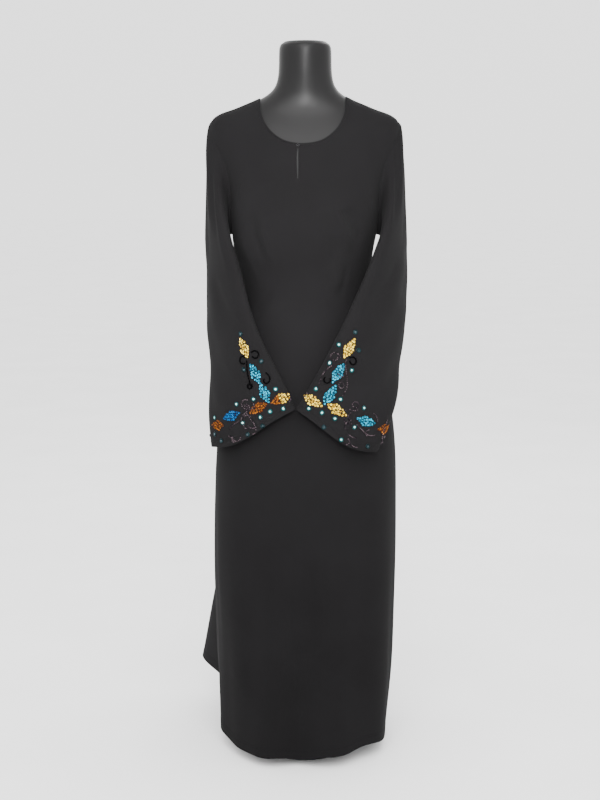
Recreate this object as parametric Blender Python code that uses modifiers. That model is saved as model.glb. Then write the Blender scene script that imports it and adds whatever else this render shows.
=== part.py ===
"""Black kaftan with long bell sleeves, worn by a plain limbless dress form on a round base.

Metres, +Z up. The wearer faces -Y, with the right side towards -X.
The origin is the centre of the base's underside.
The cloth is cut as a front, a back and two sleeves, each a thin wall with its own sewn edges.
"""

import math

import bmesh
import bpy
from mathutils import Vector

# Driving sizes of the garment
CLOTH = 0.0015
SEAM_GAP = 0.0003
UNDERARM = 1.113
SHOULDER_TIP = 1.342
NECK_POINT = 1.392
ARMHOLE_CUT = math.radians(16)
ARMHOLE_ROUNDNESS = 0.7
FORM_CLEARANCE = 0.0016
TIP_EASE, TIP_EASE_FROM, TIP_EASE_WIDTH = 0.0045, 0.135, 0.050

# The neckline is an oval hole in the shoulders, seen from the front
NECK_CENTRE_X = -0.005
NECK_HALF_WIDTH = 0.088
FRONT_NECK_DROP = 0.094
BACK_NECK_DROP = 0.020
NECK_SQUARENESS = 2.2
NECKLINE_LIMIT = 1.405

# The slit below the neckline, a little to the wearer's right
SLIT_AZIMUTH = math.radians(-9.8)
SLIT_HALF_ANGLE = math.radians(0.95)
SLIT_ROWS = 6
HOOK_DROP, HOOK_WIRE_RADIUS, HOOK_DEGREES = 0.004, 0.0009, (-2.6, -1.3, 0, 1.3, 2.6)

# Rows of each panel, from the hem up
SKIRT_HEIGHTS = (0.018, 0.10, 0.19, 0.29, 0.40, 0.52, 0.63, 0.72, 0.80, 0.88, 0.95, 1.00, 1.04, 1.085,
                 UNDERARM)
ARMHOLE_ROWS = 12
SHOULDER_ROWS = 3

# Columns of each panel, as shares of its half width
FRONT_COLUMNS = (-1, -0.965, -0.92, -0.86, -0.78, -0.69, -0.60, -0.51, -0.42, -0.33, -0.25, -0.18,
                 -0.04, 0.04, 0.12, 0.20, 0.28, 0.36, 0.45, 0.54, 0.63, 0.71, 0.79, 0.86, 0.92, 0.965, 1)
BACK_COLUMNS = (-1, -0.965, -0.92, -0.86, -0.79, -0.72, -0.65, -0.58, -0.51, -0.45, -0.39, -0.33, -0.26,
                -0.18, -0.10, -0.02, 0.06, 0.14, 0.22, 0.30, 0.38, 0.46, 0.54, 0.62, 0.70, 0.78, 0.86, 0.92,
                0.965, 1)

# Dress form: height, half width, front depth, back depth, squareness of the section
FORM_SECTIONS = (
    (0.690, 0.146, 0.096, 0.110, 2.2),
    (0.705, 0.158, 0.106, 0.120, 2.2),
    (0.770, 0.164, 0.112, 0.128, 2.2),
    (0.860, 0.144, 0.100, 0.110, 2.2),
    (0.985, 0.113, 0.084, 0.080, 2.15),
    (1.050, 0.124, 0.098, 0.086, 2.15),
    (1.125, 0.143, 0.121, 0.094, 2.2),
    (1.190, 0.151, 0.113, 0.100, 2.3),
    (1.250, 0.164, 0.097, 0.101, 2.4),
    (1.300, 0.181, 0.080, 0.093, 2.4),
    (1.322, 0.187, 0.070, 0.083, 2.35),
    (1.338, 0.185, 0.063, 0.075, 2.3),
    (1.350, 0.172, 0.057, 0.068, 2.2),
    (1.362, 0.148, 0.052, 0.062, 2.1),
    (1.374, 0.120, 0.050, 0.057, 2.0),
    (1.386, 0.091, 0.049, 0.053, 2.0),
    (1.398, 0.070, 0.049, 0.051, 2.0),
    (1.412, 0.059, 0.050, 0.051, 2.0),
    (1.440, 0.054, 0.052, 0.052, 2.0),
    (1.484, 0.053, 0.053, 0.053, 2.0),
    (1.495, 0.050, 0.050, 0.050, 2.0),
    (1.501, 0.042, 0.042, 0.042, 2.0),
)

# Hanging cloth: height, half width, front depth, back depth, squareness, sideways shift
CLOTH_SECTIONS = (
    (0.018, 0.182, 0.151, 0.196, 2.2, -0.004),
    (0.200, 0.190, 0.150, 0.184, 2.2, 0.0),
    (0.400, 0.195, 0.148, 0.172, 2.2, 0.001),
    (0.600, 0.193, 0.146, 0.163, 2.2, 0.002),
    (0.700, 0.187, 0.141, 0.158, 2.2, 0.003),
    (0.780, 0.177, 0.134, 0.150, 2.2, 0.002),
    (0.860, 0.158, 0.125, 0.134, 2.2, 0.0),
    (0.930, 0.140, 0.116, 0.115, 2.2, 0.0),
    (0.990, 0.131, 0.111, 0.101, 2.2, 0.0),
    (1.045, 0.137, 0.118, 0.098, 2.2, -0.002),
    (1.085, 0.1455, 0.126, 0.101, 2.2, -0.004),
    (1.125, 0.1515, 0.130, 0.104, 2.2, -0.002),
    (1.190, 0.157, 0.121, 0.107, 2.3, 0.0),
    (1.260, 0.170, 0.103, 0.108, 2.4, 0.0),
)
REST_FROM, REST_FULL = 1.150, 1.225

# Skirt folds: azimuth and half spread in degrees, reach at the hem, height where the fold starts
SKIRT_FOLDS = (
    (-30, 13, 0.011, 0.66),
    (26, 14, 0.011, 0.62),
    (-4, 10, -0.012, 0.55),
    (62, 12, 0.008, 0.50),
    (-66, 12, -0.008, 0.60),
    (112, 11, 0.014, 0.70),
    (145, 12, 0.030, 0.80),
    (128, 8, -0.010, 0.60),
    (176, 12, 0.034, 0.82),
    (-162, 9, -0.016, 0.70),
    (-112, 9, -0.012, 0.50),
)
SWEEP_AZIMUTH, SWEEP_TOP, SWEEP_REACH, SWEEP_RISE = math.radians(-139), 0.72, 0.157, 0.085
SWEEP_SPREAD, SWEEP_RISE_SPREAD = math.radians(13), math.radians(34)

# Sleeves below the armhole: back fold x, y, z; front fold x, y, z; bow of the cloth between them;
# hollow between its two layers
SLEEVE_RIGHT = (
    (-0.199, 0.058, 1.090, -0.151, -0.092, 1.105, 0.008, 0.030),
    (-0.198, 0.050, 1.010, -0.130, -0.109, 1.035, 0.012, 0.033),
    (-0.196, 0.038, 0.930, -0.110, -0.122, 0.965, 0.018, 0.034),
    (-0.189, 0.018, 0.845, -0.083, -0.134, 0.900, 0.026, 0.031),
    (-0.184, -0.012, 0.760, -0.048, -0.142, 0.835, 0.034, 0.027),
    (-0.182, -0.055, 0.674, -0.0187, -0.150, 0.772, 0.034, 0.026),
)
SLEEVE_LEFT = (
    (0.206, 0.058, 1.090, 0.150, -0.094, 1.105, 0.008, 0.030),
    (0.207, 0.050, 1.020, 0.123, -0.110, 1.040, 0.014, 0.033),
    (0.202, 0.036, 0.945, 0.095, -0.124, 0.980, 0.020, 0.036),
    (0.194, 0.008, 0.870, 0.065, -0.136, 0.920, 0.028, 0.036),
    (0.171, -0.052, 0.785, 0.027, -0.144, 0.850, 0.032, 0.033),
    (0.142, -0.118, 0.676, -0.0173, -0.150, 0.772, 0.022, 0.031),
)
CUFF_SAG, CUFF_SAG_FROM, CUFF_SAG_SKEW = 0.018, 0.55, 0.8
CUFF_CORNER, CUFF_CORNER_WIDTH = 0.008, 0.07
SLEEVE_CLEARANCE = 0.003
SEAM_STAND = 0.003
SOFT_PUSH = 0.006
LAYERS_AT_FOLDS = 0.8
CAP_HANG = -0.25
CAP_LEAVE, CAP_LEAVE_AT_TOP, CAP_ARRIVE = 0.35, 0.25, 0.8
FOLD_LENGTH = 0.026
LOOP_SHARES = (0, 0.012, 0.05, 0.12, 0.24, 0.37, 0.5, 0.63, 0.76, 0.88, 0.95, 0.988, 1)
CAP_RINGS = 6
SLEEVE_RINGS = 11

# Sizes of the dress form's mesh and of all smooth shading
FORM_EXTRA_HEIGHTS = (0.735, 0.815, 0.905, 0.945, 1.018, 1.088, 1.158, 1.220, 1.275, 1.356, 1.368, 1.380,
                      1.392, 1.462)
FORM_AZIMUTHS = (0, 9, 18, 27, 36, 45, 54, 63, 71, 78, 83.5, 87, 90)
SHARP_ANGLE = math.radians(50)

# Stand
BASE_RADIUS, BASE_THICKNESS = 0.110, 0.008
SOCKET_RADIUS, SOCKET_HEIGHT = 0.030, 0.032
POLE_RADIUS = 0.0125


def smooth(t):
    t = min(1.0, max(0.0, t))
    return t * t * (3 - 2 * t)


def table_row(table, key):
    """The table's row at that key in its first column, on a smooth curve through its rows."""
    keys = [row[0] for row in table]
    key = min(max(key, keys[0]), keys[-1])
    i = max(j for j in range(len(keys) - 1) if keys[j] <= key)

    def slope(j, c):
        low, high = max(0, j - 1), min(len(table) - 1, j + 1)
        return (table[high][c] - table[low][c]) / (keys[high] - keys[low])

    step = keys[i + 1] - keys[i]
    t = (key - keys[i]) / step
    start, start_slope = 2 * t**3 - 3 * t**2 + 1, t**3 - 2 * t**2 + t
    end, end_slope = 3 * t**2 - 2 * t**3, t**3 - t**2
    return [
        start * table[i][c] + end * table[i + 1][c]
        + step * (start_slope * slope(i, c) + end_slope * slope(i + 1, c))
        for c in range(len(table[0]))
    ]


def section_radius(azimuth, half_width, front, back, squareness):
    """Radius of a rounded section towards an azimuth, counted from the front towards +X."""
    side, ahead = abs(math.sin(azimuth)), math.cos(azimuth)
    depth = front if ahead > 0 else back
    return ((side / half_width) ** squareness + (abs(ahead) / depth) ** squareness) ** (-1 / squareness)


def form_point(azimuth, height):
    _, half_width, front, back, squareness = table_row(FORM_SECTIONS, height)
    radius = section_radius(azimuth, half_width, front, back, squareness)
    return Vector((radius * math.sin(azimuth), -radius * math.cos(azimuth), height))


def normal_at(surface, azimuth, height):
    """Outward normal of a surface that is a function of azimuth and height."""
    turn, rise = 0.004, 0.001
    around = surface(azimuth + turn, height) - surface(azimuth - turn, height)
    up = surface(azimuth, height + rise) - surface(azimuth, height - rise)
    return around.cross(up).normalized()


def angle_between(a, b):
    return abs((a - b + math.pi) % (2 * math.pi) - math.pi)


def fold_reach(azimuth, height):
    """How far the skirt's folds move the cloth outwards."""
    reach = 0.0
    for degrees, spread, depth, top in SKIRT_FOLDS:
        away = angle_between(azimuth, math.radians(degrees)) / math.radians(spread)
        fall = max(0.0, (top - height) / (top - SKIRT_HEIGHTS[0]))
        reach += depth * fall**1.4 * math.exp(-away * away)
    away = angle_between(azimuth, SWEEP_AZIMUTH) / SWEEP_SPREAD
    return reach + SWEEP_REACH * sweep_fall(height) * math.exp(-away * away)


def sweep_fall(height):
    """How far down the fold that swings out behind a height is, from 0 to 1."""
    return max(0.0, (SWEEP_TOP - height) / (SWEEP_TOP - SKIRT_HEIGHTS[0]))


def hem_rise(azimuth, height):
    """The fold that swings out behind lifts its own hem."""
    away = angle_between(azimuth, SWEEP_AZIMUTH) / SWEEP_RISE_SPREAD
    return SWEEP_RISE * sweep_fall(height) * math.exp(-away**4)


def hanging_point(azimuth, height):
    _, half_width, front, back, squareness, shift = table_row(CLOTH_SECTIONS, height)
    radius = section_radius(azimuth, half_width, front, back, squareness) + fold_reach(azimuth, height)
    across, ahead = radius * math.sin(azimuth), radius * math.cos(azimuth)
    return Vector((across + shift, -ahead, height + hem_rise(azimuth, height)))


def trunk_point(azimuth, height):
    """Outer face of the front and back: hanging below the bust, resting on the form at the shoulders."""
    share = smooth((height - REST_FROM) / (REST_FULL - REST_FROM))
    if share == 0:
        return hanging_point(azimuth, height)
    form = form_point(azimuth, height)
    ease = TIP_EASE * smooth((abs(form.x) - TIP_EASE_FROM) / TIP_EASE_WIDTH)
    resting = form + normal_at(form_point, azimuth, height) * (FORM_CLEARANCE + ease + CLOTH)
    return resting if share == 1 else hanging_point(azimuth, height).lerp(resting, share)


def neck_excess(point, drop):
    """Above zero outside the neckline, on the cloth, and below zero inside it."""
    across = abs(point.x - NECK_CENTRE_X) / NECK_HALF_WIDTH
    below = max(0.0, NECK_POINT - point.z) / drop
    return across**NECK_SQUARENESS + below**NECK_SQUARENESS - 1


def neck_height(azimuth):
    """Height at which the column at that azimuth meets the neckline."""
    drop = FRONT_NECK_DROP if math.cos(azimuth) > 0 else BACK_NECK_DROP
    low, high = UNDERARM, NECKLINE_LIMIT
    for _ in range(30):
        middle = (low + high) / 2
        if neck_excess(trunk_point(azimuth, middle), drop) > 0:
            low = middle
        else:
            high = middle
    return low


def panel_height(middle_azimuth, share, above):
    """Height of a panel's row above the underarm, which climbs to the shoulder tip at the sides."""
    ends = [neck_height(middle_azimuth + end * (math.pi / 2 - 1e-6)) for end in (-1, 1)]
    side_top = ends[0] + (ends[1] - ends[0]) * (share + 1) / 2
    at_side = UNDERARM + (SHOULDER_TIP - UNDERARM) * min(1, above / ARMHOLE_ROWS)
    at_side += (side_top - SHOULDER_TIP) * max(0, above - ARMHOLE_ROWS) / SHOULDER_ROWS
    top = neck_height(middle_azimuth + share * (math.pi / 2 - 1e-6))
    return UNDERARM + (at_side - UNDERARM) / (side_top - UNDERARM) * (top - UNDERARM)


def panel_grid(middle_azimuth, columns):
    """Outer and inner points of a panel, row by row from the hem to the neckline."""
    facing = 1 if middle_azimuth == 0 else -1
    outer, inner = [], []
    for row in range(len(SKIRT_HEIGHTS) + ARMHOLE_ROWS + SHOULDER_ROWS):
        above = row - len(SKIRT_HEIGHTS) + 1
        cut = 0.0
        if 0 < above < ARMHOLE_ROWS:
            cut = ARMHOLE_CUT * math.sin(math.pi * above / ARMHOLE_ROWS) ** ARMHOLE_ROUNDNESS
        outer.append([])
        inner.append([])
        for share in columns:
            turn = share * (math.pi / 2 - cut)
            azimuth = middle_azimuth + turn
            height = panel_height(middle_azimuth, share, above) if above > 0 else SKIRT_HEIGHTS[row]
            point, normal = trunk_point(azimuth, height), normal_at(trunk_point, azimuth, height)
            if abs(share) == 1 and cut == 0:
                point.y = -facing * SEAM_GAP / 2
                normal.y = 0
                normal.normalize()
            outer[-1].append(point)
            inner[-1].append(point - normal * CLOTH)
    return outer, inner


def split(corners):
    """Two triangles for a four-sided face, along its shorter diagonal."""
    first = 0 if (corners[0] - corners[2]).length < (corners[1] - corners[3]).length else 1
    return (first, first + 1, first + 2), (first, first + 2, (first + 3) % 4)


def wall(name, outer, inner, material, ring=False, skip=()):
    """A closed thin wall between two grids of points. skip names the cells that are left open."""
    mesh = bpy.data.meshes.new(name)
    made = bmesh.new()
    faces = [[[made.verts.new(p) for p in row] for row in grid] for grid in (outer, inner)]
    rows, columns = len(outer), len(outer[0])
    last = columns if ring else columns - 1
    cells = [(r, c) for r in range(rows - 1) for c in range(last) if (r, c) not in skip]
    borders = {}
    for r, c in cells:
        beside = (c + 1) % columns
        corners = ((r, c), (r, beside), (r + 1, beside), (r + 1, c))
        for triangle in split([outer[a][b] for a, b in corners]):
            made.faces.new([faces[0][a][b] for a, b in (corners[i] for i in triangle)])
            made.faces.new([faces[1][a][b] for a, b in (corners[i] for i in reversed(triangle))])
        for start, end in zip(corners, (*corners[1:], corners[0])):
            if (end, start) in borders:
                del borders[end, start]
            else:
                borders[start, end] = True
    for (a, b), (c, d) in borders:
        rim = (faces[0][c][d], faces[0][a][b], faces[1][a][b], faces[1][c][d])
        for triangle in split([vertex.co for vertex in rim]):
            made.faces.new([rim[i] for i in triangle])
    for vertex in [v for v in made.verts if not v.link_faces]:
        made.verts.remove(vertex)
    bmesh.ops.recalc_face_normals(made, faces=made.faces)
    made.to_mesh(mesh)
    made.free()
    mesh.shade_smooth()
    mesh.set_sharp_from_angle(angle=SHARP_ANGLE)
    return place(name, mesh, material)


def place(name, mesh, material):
    piece = bpy.data.objects.new(name, mesh)
    mesh.materials.append(material)
    bpy.data.collections["kaftan"].objects.link(piece)
    return piece


def finish(name, colour, roughness, metallic=0.0):
    """A plain material for one kind of surface."""
    material = bpy.data.materials.new(name)
    material.use_nodes = True
    shader = material.node_tree.nodes["Principled BSDF"]
    shader.inputs["Base Color"].default_value = (*colour, 1)
    shader.inputs["Roughness"].default_value = roughness
    shader.inputs["Metallic"].default_value = metallic
    return material


def sleeve_middle(table, share, across):
    """Point halfway between a sleeve's two layers. across runs from its back fold to its front fold."""
    rows = [(i / (len(table) - 1), *row) for i, row in enumerate(table)]
    _, *row = table_row(rows, share)
    back, front, bow = Vector(row[0:3]), Vector(row[3:6]), row[6]
    outward = math.copysign(1, table[0][0])
    along = (front - back).normalized()
    normal = Vector((-along.y, along.x, 0)) * outward
    point = back.lerp(front, across) + normal * (bow * 4 * across * (1 - across))
    shaped = smooth((share - CUFF_SAG_FROM) / (1 - CUFF_SAG_FROM))
    point.z -= shaped * CUFF_SAG * math.sin(math.pi * across**CUFF_SAG_SKEW) ** 2
    point.z += shaped * CUFF_CORNER * (1 - smooth(across / CUFF_CORNER_WIDTH))
    radius, azimuth = math.hypot(point.x, point.y), math.atan2(point.x, -point.y)
    trunk = hanging_point(azimuth, point.z)
    room = math.hypot(trunk.x, trunk.y) + SLEEVE_CLEARANCE + row[7] / 2
    pushed = (radius + room + math.sqrt((radius - room) ** 2 + SOFT_PUSH**2)) / 2
    return Vector((point.x * pushed / radius, point.y * pushed / radius, point.z)), row[7]


def sleeve_loop_point(table, share, index):
    """Point of the sleeve's outer face. index 0 is the back fold, 12 the front fold, outer layer first."""
    half = len(LOOP_SHARES) - 1
    index %= 2 * half
    outer_layer = index <= half
    across = LOOP_SHARES[index] if outer_layer else LOOP_SHARES[2 * half - index]
    point, hollow = sleeve_middle(table, share, across)
    step = 0.01
    ahead, _ = sleeve_middle(table, share, min(1, across + step))
    behind, _ = sleeve_middle(table, share, max(0, across - step))
    along = (ahead - behind).normalized()
    outward = math.copysign(1, table[0][0])
    normal = Vector((-along.y, along.x, 0)).normalized() * outward
    width = (sleeve_middle(table, share, 1)[0] - sleeve_middle(table, share, 0)[0]).length
    from_fold = min(1.0, min(across, 1 - across) * width / FOLD_LENGTH)
    thickness = hollow / 2 * math.sqrt(1 - (1 - from_fold) ** 2) * (
        LAYERS_AT_FOLDS + (1 - LAYERS_AT_FOLDS) * math.sin(math.pi * across))
    return point + normal * (thickness if outer_layer else -thickness)


def clear_of_trunk(point, room):
    """The point, moved straight out from the axis where the trunk would be closer than the given room."""
    radius, azimuth = math.hypot(point.x, point.y), math.atan2(point.x, -point.y)
    trunk = trunk_point(azimuth, point.z)
    least = math.hypot(trunk.x, trunk.y) + room
    if radius >= least:
        return point
    return Vector((point.x * least / radius, point.y * least / radius, point.z))


def armhole_rings(side, front, back):
    """The sleeve's sewn edge and a ring just outside it: on from the shoulder, and standing out below."""
    column = -1 if side > 0 else 0
    back_column = 0 if side > 0 else -1
    first = len(SKIRT_HEIGHTS) - 1
    edge = []
    for index in range(2 * ARMHOLE_ROWS):
        on_front = 6 <= index <= 18
        row = 18 - index if on_front else (index - 18) % (2 * ARMHOLE_ROWS)
        (outer, inner), at = (front, column) if on_front else (back, back_column)
        spots = outer[first + row][at], inner[first + row][at]
        if index in (6, 18):
            spots = [Vector((p.x, 0, p.z)) for p in spots]
        edge.append(spots)
    middle = sum((point for point, _ in edge), Vector()) / len(edge)
    sewn, stood = [], []
    for index, (point, lining) in enumerate(edge):
        normal = (point - lining).normalized()
        along = edge[(index + 1) % len(edge)][0] - edge[index - 1][0]
        across = along.cross(normal).normalized()
        if across.dot(middle - point + Vector((side * 0.5, 0, 0))) < 0:
            across.negate()
        turn = math.pi / 2 * smooth((1 - math.cos((index - 6) * math.pi / ARMHOLE_ROWS)) / 2)
        leave = across * math.cos(turn) + normal * math.sin(turn)
        start = point + across * SEAM_GAP - normal * (CLOTH * math.sin(turn))
        sewn.append((start, start + (across * math.sin(turn) - normal * math.cos(turn)) * CLOTH))
        stood.append((start + leave * (CLOTH * math.sin(turn) + SEAM_STAND), leave))
    return sewn, stood


def sleeve_grid(table, front, back):
    """Outer and inner points of a sleeve, ring by ring from the armhole to the cuff."""
    side = math.copysign(1, table[0][0])
    sewn, stood = armhole_rings(side, front, back)
    count = len(sewn)
    outer = [[point for point, _ in sewn], [point for point, _ in stood]]
    cap_ends = [sleeve_loop_point(table, 0, i) for i in range(count)]
    step = 0.02
    cap_slopes = [(sleeve_loop_point(table, step, i) - cap_ends[i]) / step for i in range(count)]
    reach = (cap_ends[6] - outer[0][6]).length
    for r in range(1, CAP_RINGS + 1):
        t = r / CAP_RINGS
        start, start_slope = 2 * t**3 - 3 * t**2 + 1, t**3 - 2 * t**2 + t
        end, end_slope = 3 * t**2 - 2 * t**3, t**3 - t**2
        loop = []
        for i in range(count):
            (begin, leave), stop = stood[i], cap_ends[i]
            distance = (stop - begin).length
            upward = max(0.0, math.cos((i - 6) * math.pi / ARMHOLE_ROWS))
            away = (leave + Vector((side, 0, CAP_HANG))).normalized()
            away *= (CAP_LEAVE + (CAP_LEAVE_AT_TOP - CAP_LEAVE) * upward) * min(distance * 1.1, reach)
            arrive = cap_slopes[i].normalized() * distance * CAP_ARRIVE
            point = begin * start + away * start_slope + stop * end + arrive * end_slope
            loop.append(clear_of_trunk(point, SLEEVE_CLEARANCE))
        outer.append(loop)
    for r in range(1, SLEEVE_RINGS + 1):
        outer.append([sleeve_loop_point(table, r / SLEEVE_RINGS, i) for i in range(count)])
    inner = [[lining for _, lining in sewn]]
    for r in range(1, len(outer)):
        after = outer[min(r + 1, len(outer) - 1)]
        loop = []
        for i in range(count):
            around = outer[r][(i + 1) % count] - outer[r][i - 1]
            down = after[i] - outer[r - 1][i]
            loop.append(outer[r][i] + around.cross(down).normalized() * -side * CLOTH)
        inner.append(loop)
    return outer, inner


def build_form(material):
    """Smooth limbless torso with a neck, closed at both ends."""
    heights = sorted({*(row[0] for row in FORM_SECTIONS), *FORM_EXTRA_HEIGHTS})
    half = [*FORM_AZIMUTHS, *(180 - d for d in reversed(FORM_AZIMUTHS[:-1]))]
    around = [math.radians(d) for d in (*half, *(-d for d in reversed(half[1:-1])))]
    made = bmesh.new()
    rings = [[made.verts.new(form_point(a, h)) for a in around] for h in heights]
    for lower, upper in zip(rings, rings[1:]):
        for i in range(len(around)):
            j = (i + 1) % len(around)
            made.faces.new((lower[i], lower[j], upper[j], upper[i]))
    made.faces.new(list(reversed(rings[0])))
    made.faces.new(rings[-1])
    bmesh.ops.recalc_face_normals(made, faces=made.faces)
    mesh = bpy.data.meshes.new("dress_form")
    made.to_mesh(mesh)
    made.free()
    mesh.shade_smooth()
    mesh.set_sharp_from_angle(angle=SHARP_ANGLE)
    return place("dress_form", mesh, material)


def round_solid(name, profile, material, steps=48):
    """A turned solid. Its profile starts and ends on the axis."""
    mesh = bpy.data.meshes.new(name)
    made = bmesh.new()
    points = [made.verts.new((r, 0, z)) for r, z in profile]
    for a, b in zip(points, points[1:]):
        made.edges.new((a, b))
    made.to_mesh(mesh)
    made.free()
    piece = place(name, mesh, material)
    screw = piece.modifiers.new("turn", "SCREW")
    screw.steps = screw.render_steps = steps
    screw.use_merge_vertices = True
    screw.merge_threshold = 0.00001
    screw.use_smooth_shade = True
    return piece


def build_stand(material):
    """Round base plate with a socket, and the pole that stands in it and carries the form."""
    edge = 0.002
    bore = POLE_RADIUS + SEAM_GAP
    rim = BASE_THICKNESS + SOCKET_HEIGHT
    socket = ((0, BASE_THICKNESS), (bore, BASE_THICKNESS), (bore, rim), (bore + edge, rim),
              (SOCKET_RADIUS - edge, rim - edge), (SOCKET_RADIUS, BASE_THICKNESS))
    plate = ((BASE_RADIUS - edge, BASE_THICKNESS), (BASE_RADIUS, BASE_THICKNESS - edge),
             (BASE_RADIUS, edge), (BASE_RADIUS - edge, 0), (0, 0))
    round_solid("base", (*socket, *plate), material)
    foot, top = BASE_THICKNESS + SEAM_GAP, FORM_SECTIONS[0][0] - SEAM_GAP
    round_solid("pole", ((0, top), (POLE_RADIUS, top), (POLE_RADIUS, foot), (0, foot)), material, steps=24)


def build_hook(material):
    """The small hook that closes the slit at the neckline."""
    height = neck_height(SLIT_AZIMUTH) - HOOK_DROP
    wire, sides = HOOK_WIRE_RADIUS, 8
    spots = []
    for degrees in HOOK_DEGREES:
        azimuth = SLIT_AZIMUTH + math.radians(degrees)
        normal = normal_at(trunk_point, azimuth, height)
        spots.append((trunk_point(azimuth, height) + normal * (wire + SEAM_GAP), normal))
    along = (spots[-1][0] - spots[0][0]).normalized()
    made = bmesh.new()
    rings = []
    for middle, normal in spots:
        aside = along.cross(normal)
        turns = [2 * math.pi * i / sides for i in range(sides)]
        ring = [middle + (normal * math.cos(a) + aside * math.sin(a)) * wire for a in turns]
        rings.append([made.verts.new(point) for point in ring])
    for near, far in zip(rings, rings[1:]):
        for i in range(sides):
            made.faces.new((near[i], near[i - 1], far[i - 1], far[i]))
    made.faces.new(rings[0])
    made.faces.new(rings[-1])
    bmesh.ops.recalc_face_normals(made, faces=made.faces)
    mesh = bpy.data.meshes.new("neck_hook")
    made.to_mesh(mesh)
    made.free()
    mesh.shade_smooth()
    mesh.set_sharp_from_angle(angle=SHARP_ANGLE)
    return place("neck_hook", mesh, material)


def build():
    for piece in list(bpy.data.objects):
        bpy.data.objects.remove(piece)
    bpy.context.scene.collection.children.link(bpy.data.collections.new("kaftan"))
    black_crepe = finish("black_crepe", (0.022, 0.021, 0.022), 0.75)
    grey_gloss = finish("grey_gloss", (0.075, 0.075, 0.078), 0.28)
    dark_steel = finish("dark_steel", (0.12, 0.12, 0.125), 0.35, 0.9)

    slit = [SLIT_AZIMUTH / (math.pi / 2) + d * SLIT_HALF_ANGLE / (math.pi / 2) for d in (-1, 1)]
    front_columns = sorted([*FRONT_COLUMNS, *slit])
    top_row = len(SKIRT_HEIGHTS) + ARMHOLE_ROWS + SHOULDER_ROWS - 1
    slit_column = front_columns.index(slit[0])
    open_cells = {(r, slit_column) for r in range(top_row - SLIT_ROWS, top_row)}
    front = panel_grid(0, front_columns)
    back = panel_grid(math.pi, BACK_COLUMNS)
    wall("front", *front, black_crepe, skip=open_cells)
    wall("back", *back, black_crepe)
    wall("sleeve_right", *sleeve_grid(SLEEVE_RIGHT, front, back), black_crepe, ring=True)
    wall("sleeve_left", *sleeve_grid(SLEEVE_LEFT, front, back), black_crepe, ring=True)
    build_hook(dark_steel)
    build_form(grey_gloss)
    build_stand(dark_steel)


build()
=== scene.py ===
# Looks of the black kaftan on its dress form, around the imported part. Metres, +Z up, the wearer
# faces -Y. The cloth's fine shells lie on the part's own surfaces, worked out from the same tables.

import math

import bpy
import numpy as np
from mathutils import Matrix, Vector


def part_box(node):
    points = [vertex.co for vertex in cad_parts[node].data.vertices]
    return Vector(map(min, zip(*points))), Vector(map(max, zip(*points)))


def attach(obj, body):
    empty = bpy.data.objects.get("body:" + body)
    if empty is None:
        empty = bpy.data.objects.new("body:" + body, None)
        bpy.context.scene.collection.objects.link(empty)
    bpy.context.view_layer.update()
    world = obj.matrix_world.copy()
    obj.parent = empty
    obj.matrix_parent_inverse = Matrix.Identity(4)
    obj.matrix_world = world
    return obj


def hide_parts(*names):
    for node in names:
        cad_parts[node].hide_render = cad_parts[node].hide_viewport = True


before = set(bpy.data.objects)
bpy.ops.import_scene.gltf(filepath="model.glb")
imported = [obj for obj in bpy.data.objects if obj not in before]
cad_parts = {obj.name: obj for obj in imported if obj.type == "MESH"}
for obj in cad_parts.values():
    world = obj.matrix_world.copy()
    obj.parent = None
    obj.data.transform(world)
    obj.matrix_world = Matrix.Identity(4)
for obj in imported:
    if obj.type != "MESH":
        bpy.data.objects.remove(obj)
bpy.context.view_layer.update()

# Driving sizes of the garment, as in the part. THIN is how thick the fine shells are here.
THIN = 0.0010
CLOTH = 0.0015
SEAM_GAP = 0.0003
UNDERARM = 1.113
SHOULDER_TIP = 1.342
NECK_POINT = 1.392
ARMHOLE_CUT = math.radians(16)
ARMHOLE_ROUNDNESS = 0.7
ARMHOLE_ROWS = 12
SHOULDER_ROWS = 3
TOP_ROW = ARMHOLE_ROWS + SHOULDER_ROWS
FORM_CLEARANCE = 0.0016
TIP_EASE, TIP_EASE_FROM, TIP_EASE_WIDTH = 0.0045, 0.135, 0.050
NECK_CENTRE_X = -0.005
NECK_HALF_WIDTH = 0.088
FRONT_NECK_DROP = 0.094
BACK_NECK_DROP = 0.020
NECK_SQUARENESS = 2.2
NECKLINE_LIMIT = 1.405
SLIT_AZIMUTH = math.radians(-9.8)
SLIT_HALF_ANGLE = math.radians(0.95)
SLIT_ROWS = 6
HEM = 0.018

# The slit's width: share of it at the hook, where it opens and over what share of its length, then
# how much it narrows again and from where, and how many half widths away the cloth is still drawn in
SLIT_DRAWN, SLIT_OPENS_FROM, SLIT_OPENS_OVER = 0.10, 0.06, 0.22
SLIT_NARROWS, SLIT_NARROWS_FROM, SLIT_PULL_REACH = 0.45, 0.45, 6

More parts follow.
